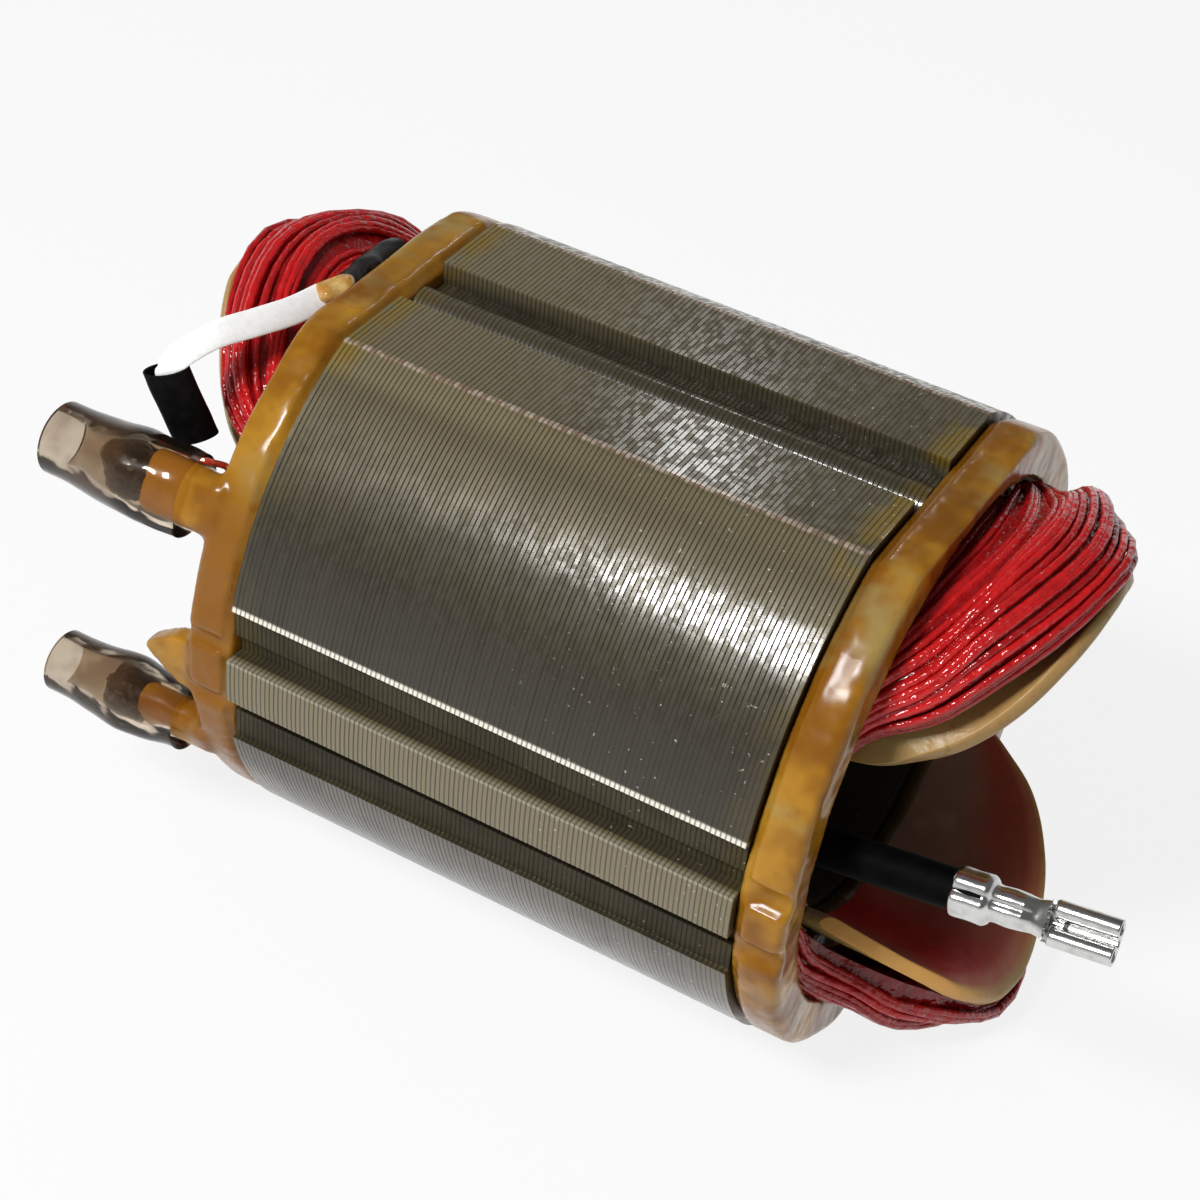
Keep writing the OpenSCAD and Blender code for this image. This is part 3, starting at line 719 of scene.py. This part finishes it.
def whole_turn(parts, angle, steps):
    """One end turn from slot to slot as points of x and angle."""
    half = [Vector((PLATE_END + RIM_RISE * q[0], angle * q[1])) for q in parts]
    return curve(half + [Vector((q.x, -q.y)) for q in half[-2::-1]], steps)


def ramp(v):
    """Smooth step from 0 at 0 to 1 at 1."""
    c = min(max(v, 0), 1)
    return c * c * (3 - 2 * c)


def coil_under(x):
    """Radius of a coil's underside, which clears the flared tongue."""
    return max(COIL_IN_R, TONGUE_OUT_R + lip_flare(x + LIP_LEAN) + TONGUE_GAP)


def coil_top(x, angle, bulge):
    """Radius of a coil's outside, which steps up beyond the stack and bulges beyond the collar."""
    in_slot = COIL_IN_R + COIL_T
    return (in_slot + (END_TURN_R - in_slot) * ramp((x - BEND_X) / PLATE_T)
            + bulge * ramp((x - COLLAR_END - VALLEY) / COLLAR_WALL) * math.cos(math.radians(angle)))


# Bell-mouth tongues, in millimetres and degrees, as in the solids
TONGUE_IN_R, TONGUE_WALL, TONGUE_ANGLE, TONGUE_ROOT = 19.4, 1.4, 60.2, 27.5
RIM_ANGLE, RIM_CROWN, RIM_FLANK = 61, 1.75, 0.52
TONGUE_COLUMNS, TONGUE_ROWS = 96, 40
# Where tongues are cut off the moulding, and inside which radius
TONGUE_CUT, TONGUE_ZONE, CUT_PLAY = 28.9, 26.4, 0.01


def rim_x(angle, ear):
    """Reach of a tongue at an angle from the pole axis; an ear adds to it at the crown."""
    share = abs(angle) / RIM_ANGLE
    return PLATE_END + RIM_RISE * (1 - share ** RIM_CROWN) ** RIM_FLANK + ear * (1 - share) ** 3


def tongue(end, ear):
    """One tongue as a bent grid with a wall, and how near each point is to the rim."""
    bm = bmesh.new()
    bmesh.ops.create_grid(bm, x_segments=TONGUE_COLUMNS, y_segments=TONGUE_ROWS, size=1)
    rim = bm.verts.layers.float.new("rim")
    inside = bm.verts.layers.float.new("inside")
    for v in bm.verts:
        angle = TONGUE_ANGLE * v.co.x
        share = (v.co.y + 1) / 2
        x = TONGUE_ROOT + (rim_x(angle, ear) - TONGUE_ROOT) * share
        a = math.radians(angle)
        r = TONGUE_IN_R + lip_flare(x)
        v.co = Vector((end * x, -r * math.sin(a), r * math.cos(a))) * MM
        v[rim] = share
        v[inside] = 1.0
    made = bmesh.ops.extrude_face_region(bm, geom=bm.faces[:], use_keep_orig=True)["geom"]
    for v in (g for g in made if isinstance(g, bmesh.types.BMVert)):
        out = Vector((0, v.co.y, v.co.z)).normalized()
        v.co += (out * TONGUE_WALL - Vector((end, 0, 0)) * LIP_LEAN * v[rim] ** 4) * MM
        v[inside] = 0.0
    bmesh.ops.recalc_face_normals(bm, faces=bm.faces)
    bm = modified(bm, [("SUBSURF", {"levels": 1, "render_levels": 1})])
    crumple(bm, cells=0.25, depth=0.15)
    return bm


class STATOR_OT_mouldings(bpy.types.Operator):
    """Round the edges of both end insulators, varnish them and bend their bell-mouth tongues"""

    bl_idname = "stator.mouldings"
    bl_label = "End insulators"

    def execute(self, context):
        s = context.scene.stator_moulding
        for name, end, ear in (("drive_end", 1, 0.0), ("connection_end", -1, 1.2)):
            node = name + "_insulator"
            bm = merged_copy(node)
            cut(bm, end * TONGUE_CUT)
            beyond = [v for v in bm.verts if abs(v.co.x) > (TONGUE_CUT + CUT_PLAY) * MM
                      and math.hypot(v.co.y, v.co.z) < TONGUE_ZONE * MM]
            bmesh.ops.delete(bm, geom=beyond, context="VERTS")
            bmesh.ops.holes_fill(bm, edges=[e for e in bm.edges if e.is_boundary])
            bm = softened(bm, s.grain, s.rounding)
            crumple(bm, cells=0.2, depth=0.12)
            add_piece(name + "_collar", bm, [moulding_finish(name + "_varnish", s)], [node], sharp=75)
            for half, lower in (("upper", False), ("lower", True)):
                bm = tongue(end, ear)
                bmesh.ops.rotate(bm, verts=bm.verts, matrix=Matrix.Rotation(math.pi * lower, 3, "X"))
                finish = mouth_finish(f"{name}_{half}_mouth", s, lower)
                add_piece(f"{name}_{half}_tongue", bm, [finish], [node], sharp=80)
        return {"FINISHED"}


# Sides of a wire, stations on a turn and in a slot, share of a coil's height at its edges
WIRE_SIDES, TURN_STEPS, SLOT_STEPS, EDGE_HEIGHT = 7, 6, 6, 0.45
# Waves per turn of a wire's lane and its height, and the height's waver
LANE_WAVES, HEIGHT_WAVES, HEIGHT_WAVER = (1, 2, 3, 5, 8), (2, 3, 5, 9), 0.14
# How lanes bunch up, which share of wires strays more, and by how much
BUNCH, BUNCH_LANES, STRAY_SHARE, STRAY_MORE = 0.3, 3.7, 0.2, 2.5
# Height of the top layer, step between layers, depths of wire and core in radii
TOP_LAYER, LAYER_STEP, WIRE_BELOW, CORE_BELOW = 0.3, 0.5, 1.1, 1.4


class CoilRun:
    """Stations round one coil: an end turn, a slot, the other end turn, the other slot."""

    def __init__(self, bulge):
        self.bulge = bulge
        inner = whole_turn(INNER_TURN, COIL_IN_ANGLE, TURN_STEPS)
        drive = list(zip(inner, whole_turn(DRIVE_TURN, COIL_ANGLE, TURN_STEPS)))
        outer = list(zip(inner, whole_turn(RIM_TURN, COIL_ANGLE, TURN_STEPS)))
        along = [1 - 2 * (k + 1) / (SLOT_STEPS + 1) for k in range(SLOT_STEPS)]
        self.stations = (
            [(1, a, b) for a, b in drive] + [(share, *drive[-1]) for share in along]
            + [(-1, a, b) for a, b in reversed(outer)] + [(-share, *outer[0]) for share in along]
        )

    def point(self, k, lane, lift):
        """Place on station k of a lane from 0 (inner turn) to 1 (outer turn), and the way outwards."""
        end, inner, outer = self.stations[k]
        lane = min(max(lane, 0), 1)
        x, angle = inner.lerp(outer, lane)
        under = coil_under(x)
        side = EDGE_HEIGHT + (1 - EDGE_HEIGHT) * (1 - abs(2 * lane - 1) ** 4)
        r = under + (coil_top(x, angle, self.bulge) - under) * side + lift
        a = math.radians(angle)
        out = Vector((0, -math.sin(a), math.cos(a)))
        return (Vector((end * x, 0, 0)) + out * r) * MM, out


def wire_loop(run, lane, lift, waver, radius, chance):
    """One turn of wire that strays a little from its lane and its height."""
    count = len(run.stations)
    lanes, heights = (
        [(k, chance.uniform(-1, 1) / k, chance.uniform(0, math.tau)) for k in waves]
        for waves in (LANE_WAVES, HEIGHT_WAVES)
    )

    def total(parts, u):
        return sum(a * math.sin(math.tau * k * u + p) for k, a, p in parts)

    points, outs = [], []
    for k in range(count):
        u = k / count
        at, out = run.point(k, lane + waver * 0.5 * total(lanes, u), lift + HEIGHT_WAVER * total(heights, u))
        points.append(at)
        outs.append(out)
    places = [
        ring_place(points[k], points[(k + 1) % count] - points[k - 1], outs[k], radius, radius)
        for k in range(count)
    ]
    return sweep(places, WIRE_SIDES, closed=True)


def give_tone_and_shade(bm, tone):
    """Lets the points of a mesh carry a share of the shade colour: a random tone for single wires, and
    painted shade for the core and the lower layer.
    """
    layer = bm.verts.layers.float.new("wire_tone_and_shade")
    for v in bm.verts:
        v[layer] = tone


class STATOR_OT_coils(bpy.types.Operator):
    """Wind both field coils from single wires over a core in the shade colour, as painted shade between them
    """

    bl_idname = "stator.coils"
    bl_label = "Field coils"

    def execute(self, context):
        s = context.scene.stator_winding
        radius = s.wire / 2
        coils = (("upper", 5, s.red, 2.7, 0), ("lower", 23, s.wine, 1.9, math.pi))
        for name, seed, tone, bulge, turn in coils:
            run = CoilRun(bulge)
            chance = random.Random(seed)
            turned = Matrix.Rotation(turn, 4, "X")
            bm = merged_copy(name + "_coil")
            for v in bm.verts:
                v.co -= v.normal * radius * CORE_BELOW
            # Painted shade: the core takes the full shade colour, so the gaps between the wires look dark
            give_tone_and_shade(bm, 1.0)
            for layer in range(s.layers):
                for k in range(s.lanes):
                    bunch = BUNCH * math.sin(math.tau * (k + seed) / BUNCH_LANES)
                    lane = (k + 0.5 * (layer % 2 + 1) + bunch) / s.lanes
                    lift = (TOP_LAYER - WIRE_BELOW * radius / MM - layer * LAYER_STEP
                            + chance.uniform(-0.2, 0.15))
                    stray = s.waver * (STRAY_MORE if chance.random() < STRAY_SHARE else 1) / s.lanes
                    wire = wire_loop(run, lane, lift, stray, radius * chance.uniform(0.9, 1), chance)
                    # Single wires vary at random; the lower layer is darker as painted shade
                    give_tone_and_shade(wire, min(1.0, 0.5 * chance.random() ** 2 + 0.35 * layer))
                    bmesh.ops.transform(wire, matrix=turned, verts=wire.verts)
                    part = mesh_of(wire, "wire")
                    bm.from_mesh(part)
                    bpy.data.meshes.remove(part)
            enamel = enamel_finish(name + "_enamel", tone, s.shade)
            add_piece(name + "_winding", bm, [enamel], [name + "_coil"], sharp=80)
        return {"FINISHED"}


class STATOR_OT_liners(bpy.types.Operator):
    """Give the slot liners their paper"""

    bl_idname = "stator.liners"
    bl_label = "Slot liners"

    def execute(self, context):
        paper = plain_finish("liner_paper", context.scene.stator_sleeve.paper, "8f7a48", rough=0.7, grain=0.6)
        for place in ("upper_near", "upper_far", "lower_near", "lower_far"):
            dress_node(place + "_liner", paper)
        return {"FINISHED"}


# Terminal posts: name, angle from the side and width; distance from the rotor axis
POSTS = (("upper", 30.0, 6.2), ("lower", -23.0, 5.4))
POST_R = 30.0


def post_frame(angle):
    """Frame of a post: x outwards, y along its flat face, z away from the rotor axis."""
    return (Matrix.Translation((-COLLAR_END * MM, 0, 0))
            @ Matrix.Rotation(math.radians(90 - angle), 4, "X")
            @ Matrix.Rotation(math.pi, 4, "Z")
            @ Matrix.Translation((0, 0, POST_R * MM)))


class STATOR_OT_terminals(bpy.types.Operator):
    """Dress the blades, the solder joints and the winding ends"""

    bl_idname = "stator.terminals"
    bl_label = "Terminals"

    def execute(self, context):
        s = context.scene.stator_sleeve
        blade = plain_finish("blade_metal", s.blade, "6d5a34", rough=0.35, metal=0.9)
        solder = plain_finish("burnt_solder", s.solder, "2a1c14", rough=0.35, metal=0.2, grain=0.9, depth=0.2)
        wire = plain_finish("winding_end_enamel", s.tail, "6a1410", rough=0.25, coat=0.6)
        for name, *_ in POSTS:
            dress_node(name + "_terminal", blade)
            bm = softened(merged_copy(name + "_solder_joint"), grain=0.2 * MM, rounding=8)
            bm.normal_update()
            for v in bm.verts:
                at = v.co / MM
                v.co += v.normal * MM * (0.6 + noise.noise(at * 0.5) + 0.5 * noise.noise(at * 1.6))
            add_piece(name + "_joint", bm, [solder], [name + "_solder_joint"], sharp=80)
            dress_node(name + "_coil_tail", wire)
        return {"FINISHED"}


# Clear sleeves along their post, in millimetres: start, length, play, narrowing at the far and near end
SLEEVE_FROM, SLEEVE_LENGTH, SLEEVE_PLAY, SLEEVE_SHRINK, SLEEVE_NECK = 2.6, 15.5, 1.2, 0.65, 0.15
SLEEVE_STATIONS, SLEEVE_SIDES = 40, 40
# Wrinkles: share of the radius, where they end, length over which they fade
WRINKLE, WRINKLE_END, WRINKLE_FADE = 0.05, 17, 6


class STATOR_OT_sleeves(bpy.types.Operator):
    """Shrink a clear sleeve over each post"""

    bl_idname = "stator.sleeves"
    bl_label = "Clear sleeves"

    def execute(self, context):
        s = context.scene.stator_sleeve
        film = film_finish(s)
        points = [Vector((SLEEVE_FROM + SLEEVE_LENGTH * k / SLEEVE_STATIONS, 0, 0)) * MM
                  for k in range(SLEEVE_STATIONS + 1)]
        for name, angle, width in POSTS:
            def girth(u):
                narrow = SLEEVE_SHRINK * ramp((u - 0.4) / 0.5) + SLEEVE_NECK * (1 - ramp(u / 0.2))
                return (width / 2 + SLEEVE_PLAY - narrow) * MM

            places = run_places(points, UP, girth, lambda u: girth(u) * (0.8 + 0.2 * ramp(u / 0.45)))
            bm = sweep(places, SLEEVE_SIDES, caps=False)
            for v in bm.verts:
                p = v.co / MM
                swell = WRINKLE * noise.noise(Vector((p.x * 0.3, p.y * 0.35, p.z * 0.35 + angle)))
                v.co.yz *= 1 + swell * ramp((WRINKLE_END - p.x) / WRINKLE_FADE)
            bmesh.ops.solidify(bm, geom=bm.faces[:], thickness=s.wall)
            bmesh.ops.transform(bm, matrix=post_frame(angle), verts=bm.verts)
            add_piece(name + "_film", bm, [film], [name + "_sleeve"], sharp=60)
        return {"FINISHED"}


# Way of the sleeved lead from the top of the turns to the upper post, in millimetres
UPPER_ANGLE = math.radians(POSTS[0][1])
TURN_TOP = Vector((-COLLAR_END, 0, END_TURN_R))
POST_MID = Vector((-COLLAR_END, -POST_R * math.cos(UPPER_ANGLE), POST_R * math.sin(UPPER_ANGLE)))
TURN_AHEAD, ARCH_H = 1.68, 10.0
# Points of the sleevings: share of the way, then ahead and above in arch heights
WHITE_RUN = ((0.24, 0.2, 0.36), (0.4, 0.27, 0.56), (0.56, 0.41, 0.765), (0.7, 0.56, 0.93),
             (0.81, 0.69, 0.97), (0.855, 0.775, 0.9), (0.868, 0.81, 0.7))
BLACK_RUN = ((0.872, 0.815, 0.87), (0.83, 0.78, 0.5), (0.785, 0.72, 0.07), (0.765, 0.69, -0.12))
WHITE_FACING, BLACK_FACING = Vector((0.35, -0.7, 0.63)), Vector((0.48, -0.82, 0))
# Half widths, half thicknesses and their changes; the point where white starts to fray
WHITE_W, WHITE_NARROWS, WHITE_T, WHITE_SWELLS, WHITE_FRAYS_AT = 1.4, 0.15, 0.32, 0.2, 4
BLACK_W, BLACK_T, BLACK_WALL = 2.25, 0.95, 0.2
# Dark sleeving across the turns: shares of the way, radius, height and sag in diameters
TAIL_RUN, TAIL_R, TAIL_H, TAIL_SAG = (-0.22, -0.12, 0.02, 0.12), 1.2, 0.42, 2.5
# Bead of varnish: share of the way, height, radius and form
BEAD_AT, BEAD_H, BEAD_R, BEAD_FORM = 0.19, 3.2 * 0.36, 1.45, Matrix.Diagonal((1.1, 1.55, 0.7, 1))


def over_turns(share, above):
    """A place over the end turns, by its share of the way to the upper post."""
    return (TURN_TOP + Vector((-TURN_AHEAD, POST_MID.y * share, above))) * MM


def over_arch(share, ahead, above):
    """A place on the arch of the sleevings."""
    return (TURN_TOP.lerp(POST_MID, share) + ARCH_H * Vector((-ahead, 0, above))) * MM


class STATOR_OT_sleeved_lead(bpy.types.Operator):
    """Lay the sleeved lead over the coil and down behind the upper post"""

    bl_idname = "stator.sleeved_lead"
    bl_label = "Sleeved lead"

    def execute(self, context):
        s = context.scene.stator_sleeve
        dark = plain_finish("dark_sleeving", s.dark, "2c2928", rough=0.45, grain=0.7, depth=0.15)
        run = curve([over_turns(u, 2 * TAIL_R * (TAIL_H - TAIL_SAG * u * u)) for u in TAIL_RUN], steps=8)
        bm = sweep(run_places(run, UP, TAIL_R * MM, TAIL_R * MM), sides=20)
        crumple(bm, cells=0.5, depth=0.45)
        add_piece("tail_sleeve", bm, [dark], ["tail_sleeving"])

        amber = plain_finish("varnish_drop", s.varnish, "d8b878", rough=0.2, grain=0.5, depth=0.2, coat=0.8)
        bm = bmesh.new()
        bead = Matrix.Translation(over_turns(BEAD_AT, BEAD_H)) @ BEAD_FORM
        bmesh.ops.create_icosphere(bm, subdivisions=4, radius=BEAD_R * MM, matrix=bead)
        crumple(bm, cells=0.45, depth=0.8)
        add_piece("varnish_drop", bm, [amber], ["varnish_bead"], sharp=80)

        white = plain_finish("white_braid", s.white, "f6f5f3", rough=0.6, grain=1.6, depth=0.01)
        run = curve([over_arch(*q) for q in WHITE_RUN], steps=9)
        bm = sweep(run_places(run, WHITE_FACING, lambda u: (WHITE_W - WHITE_NARROWS * ramp(u)) * MM,
                              lambda u: (WHITE_T + WHITE_SWELLS * ramp((u - 0.8) * 5)) * MM), sides=28)
        frays_at = over_arch(*WHITE_RUN[WHITE_FRAYS_AT]).x
        for v in bm.verts:
            near_end = ramp((frays_at - v.co.x) / MM)
            v.co += noise.noise_vector(v.co / MM * 1.3) * 0.2 * near_end * MM
        add_piece("white_sleeve", bm, [white], ["white_sleeving"], sharp=50)

        black = plain_finish("black_braid", s.black, "121213", rough=0.6, grain=0.9, shine=0.1)
        run = curve([over_arch(*q) for q in BLACK_RUN], steps=10)
        bm = sweep(run_places(run, BLACK_FACING, BLACK_W * MM, BLACK_T * MM), sides=28, caps=False)
        bmesh.ops.solidify(bm, geom=bm.faces[:], thickness=BLACK_WALL * MM)
        crumple(bm, cells=0.3, depth=0.1)
        add_piece("black_sleeve", bm, [black], ["black_sleeving"], sharp=50)
        return {"FINISHED"}


# Black lead, in millimetres
LEAD_RUN = ((-20.25, -22.1, 3), (0, -22.1, 3), (24, -22.1, 3), (31.3, -21.4, 3), (38.65, -21.4, 4.1),
            (46, -21.4, 5.2))
LEAD_R = 1.88
# Frame of the crimp terminal at the lead's end: x along the lead, z to the seam
CRIMP_FRAME = (Matrix.Translation(Vector(LEAD_RUN[-1]) * MM) @ Matrix.Rotation(math.radians(-8.51), 4, "Y")
               @ Matrix.Rotation(math.radians(45), 4, "X"))
# Its barrels: place, half width, half height; steps between places, start of the receptacle
CRIMP_RUN = [Vector(q) for q in (
    (-2.8, 2.12, 2.12), (-2.6, 2.3, 2.3), (-1.2, 2.24, 2.2), (0.2, 2.3, 2.25), (0.5, 2.1, 2.05),
    (0.8, 1.72, 1.6), (1.2, 1.66, 1.5), (2.4, 1.75, 1.38), (3.6, 1.66, 1.5), (4.0, 1.6, 1.3),
    (4.6, 1.55, 0.9), (5.6, 1.75, 0.62))]
CRIMP_STEPS, CRIMP_CUT = 4, 5.2
# Seam of the barrels: share of the radius, half width in degrees, where it starts to end
CRIMP_SEAM, CRIMP_SEAM_ANGLE, CRIMP_SEAM_END = 0.2, 14, 4.2


class STATOR_OT_black_lead(bpy.types.Operator):
    """Lay the black lead between the coils and crimp its terminal"""

    bl_idname = "stator.black_lead"
    bl_label = "Black lead"

    def execute(self, context):
        s = context.scene.stator_sleeve
        rubber = plain_finish("lead_rubber", s.black, "0a0a0b", rough=0.6, grain=0.5, shine=0.03)
        run = curve([Vector(p) * MM for p in LEAD_RUN], steps=8)
        bm = sweep(run_places(run, UP, LEAD_R * MM, LEAD_R * MM), sides=24)
        add_piece("lead", bm, [rubber], ["black_lead"], sharp=60)
        dress_node("lead_conductor", plain_finish("copper", s.copper, "7a4426", rough=0.35, metal=1.0))

        tinned = plain_finish("tinned_sheet", s.metal, "bdbdbb", rough=0.2, metal=1.0, grain=0.6, depth=0.02)
        bm = merged_copy("crimp_terminal")
        bmesh.ops.transform(bm, matrix=CRIMP_FRAME.inverted(), verts=bm.verts)
        cut(bm, CRIMP_CUT, clear_inner=True)
        bmesh.ops.holes_fill(bm, edges=[e for e in bm.edges if e.is_boundary])
        bm = softened(bm, grain=0.11 * MM, rounding=4)
        bmesh.ops.transform(bm, matrix=CRIMP_FRAME, verts=bm.verts)
        add_piece("receptacle", bm, [tinned], ["crimp_terminal"], sharp=60)

        run = [q.lerp(r, k / CRIMP_STEPS) for q, r in zip(CRIMP_RUN, CRIMP_RUN[1:])
               for k in range(CRIMP_STEPS)] + [CRIMP_RUN[-1]]
        along = Vector((1, 0, 0))
        bm = sweep([ring_place(along * q.x * MM, along, UP, q.y * MM, q.z * MM) for q in run], sides=48)
        for v in bm.verts:
            off_seam = math.degrees(abs(math.atan2(v.co.y, v.co.z)))
            fold = CRIMP_SEAM * math.exp(-(off_seam / CRIMP_SEAM_ANGLE) ** 2)
            v.co.yz *= 1 - fold * (1 - ramp(v.co.x / MM - CRIMP_SEAM_END))
        bmesh.ops.smooth_vert(
            bm, verts=bm.verts, factor=0.5, use_axis_x=True, use_axis_y=True, use_axis_z=True)
        bmesh.ops.transform(bm, matrix=CRIMP_FRAME, verts=bm.verts)
        add_piece("crimp_barrels", bm, [tinned], ["crimp_terminal"], sharp=60)
        return {"FINISHED"}


# Lamps, in metres
KEY_AT, KEY_SIZE = (-0.128, -0.38, 0.475), 0.13
BACK_AT, BACK_SIZE = (-0.189, 0.43, 0.377), 0.028
# Floor: half side, tone, share of white for rays that see the background
FLOOR_REACH, FLOOR_TONE, FLOOR_WHITE = 4.0, (0.85, 0.85, 0.85), 0.85
# Room: tones at the horizon and overhead, heights between which they change
HORIZON_TONE, OVERHEAD_TONE, ROOM_RISE = (0.85, 0.85, 0.85), (0.13, 0.13, 0.13), (0.08, 0.5)
SENSOR_MM, CLIP_START, CLIP_END = 36.0, 0.005, 20.0


def aimed(at, towards):
    """Turn of a lamp or camera at a place, so that it faces a point."""
    return (Vector(towards) - Vector(at)).to_track_quat("-Z", "Y")


def area_lamp(name, at, size, power):
    """A square softbox that faces the middle of the object."""
    lamp = bpy.data.lights.new(name, "AREA")
    lamp.size = size
    lamp.energy = power
    holder = placed(name, lamp)
    holder.location = at
    holder.rotation_mode = "QUATERNION"
    holder.rotation_quaternion = aimed(at, (0, 0, 0))


class STATOR_OT_stage(bpy.types.Operator):
    """Set up the floor, the lamps, the room and the camera"""

    bl_idname = "stator.stage"
    bl_label = "Stage"

    def execute(self, context):
        s = context.scene.stator_stage
        bm = bmesh.new()
        low = Matrix.Translation((0, 0, CAD_BOX[0].z))
        bmesh.ops.create_grid(bm, x_segments=1, y_segments=1, size=FLOOR_REACH, matrix=low)
        floor = placed("floor", mesh_of(bm, "floor"))
        f = Finish("floor_paper")
        paper = f.surface(Base_Color=FLOOR_TONE, Roughness=0.9, Specular_IOR_Level=0.0)
        white = f.node("ShaderNodeEmission", {"Color": (1, 1, 1), "Strength": 1.0})
        floor.data.materials.append(f.close(f.blend(FLOOR_WHITE * f.background_rays(), paper, white)))

        area_lamp("key", KEY_AT, KEY_SIZE, s.key_power)
        area_lamp("back", BACK_AT, BACK_SIZE, s.back_power)

        world = bpy.data.worlds.new("room")
        world.use_nodes = True
        n = Nodes(world.node_tree)
        height = n.node("ShaderNodeSeparateXYZ", {
            "Vector": n.node("ShaderNodeTexCoord", out="Generated")}, out="Z")
        wall = n.mix(n.step(height, *ROOM_RISE), HORIZON_TONE, OVERHEAD_TONE)
        n.node("ShaderNodeOutputWorld", {"Surface": n.node("ShaderNodeBackground", {
            "Color": wall, "Strength": s.sky})})
        context.scene.world = world

        view = bpy.data.cameras.new("camera")
        view.sensor_width = SENSOR_MM
        view.lens = s.lens
        view.clip_start = CLIP_START
        view.clip_end = CLIP_END
        camera = placed("camera", view)
        camera.location = s.camera_at
        aim = aimed(s.camera_at, s.look_at).to_matrix()
        camera.rotation_euler = (aim @ Matrix.Rotation(-s.roll, 3, "Z")).to_euler()
        context.scene.camera = camera
        context.scene.view_settings.view_transform = "Standard"
        return {"FINISHED"}


OPERATORS = (
    STATOR_OT_laminations, STATOR_OT_mouldings, STATOR_OT_coils, STATOR_OT_liners, STATOR_OT_terminals,
    STATOR_OT_sleeves, STATOR_OT_sleeved_lead, STATOR_OT_black_lead, STATOR_OT_stage,
)
SETTINGS = {
    "stator_stack": StackSettings,
    "stator_moulding": MouldingSettings,
    "stator_winding": WindingSettings,
    "stator_sleeve": SleeveSettings,
    "stator_stage": StageSettings,
}


class STATOR_PT_panel(bpy.types.Panel):
    """Lists the stator's pieces in the sidebar"""

    bl_idname = "STATOR_PT_panel"
    bl_label = "Motor Stator"
    bl_space_type = "VIEW_3D"
    bl_region_type = "UI"
    bl_category = "Stator"

    def draw(self, context):
        for operator in OPERATORS:
            self.layout.operator(operator.bl_idname)
        for name, group in SETTINGS.items():
            box = self.layout.box()
            box.label(text=group.__doc__)
            for key in group.__annotations__:
                box.prop(getattr(context.scene, name), key)


def register():
    noise.seed_set(NOISE_SEED)
    for group in SETTINGS.values():
        bpy.utils.register_class(group)
    for name, group in SETTINGS.items():
        setattr(bpy.types.Scene, name, PointerProperty(type=group))
    for operator in OPERATORS:
        bpy.utils.register_class(operator)
    bpy.utils.register_class(STATOR_PT_panel)


def unregister():
    bpy.utils.unregister_class(STATOR_PT_panel)
    for operator in OPERATORS:
        bpy.utils.unregister_class(operator)
    for name, group in SETTINGS.items():
        delattr(bpy.types.Scene, name)
        bpy.utils.unregister_class(group)


def main():
    register()
    for operator in OPERATORS:
        group, name = operator.bl_idname.split(".")
        getattr(getattr(bpy.ops, group), name)()


if __name__ == "__main__":
    main()
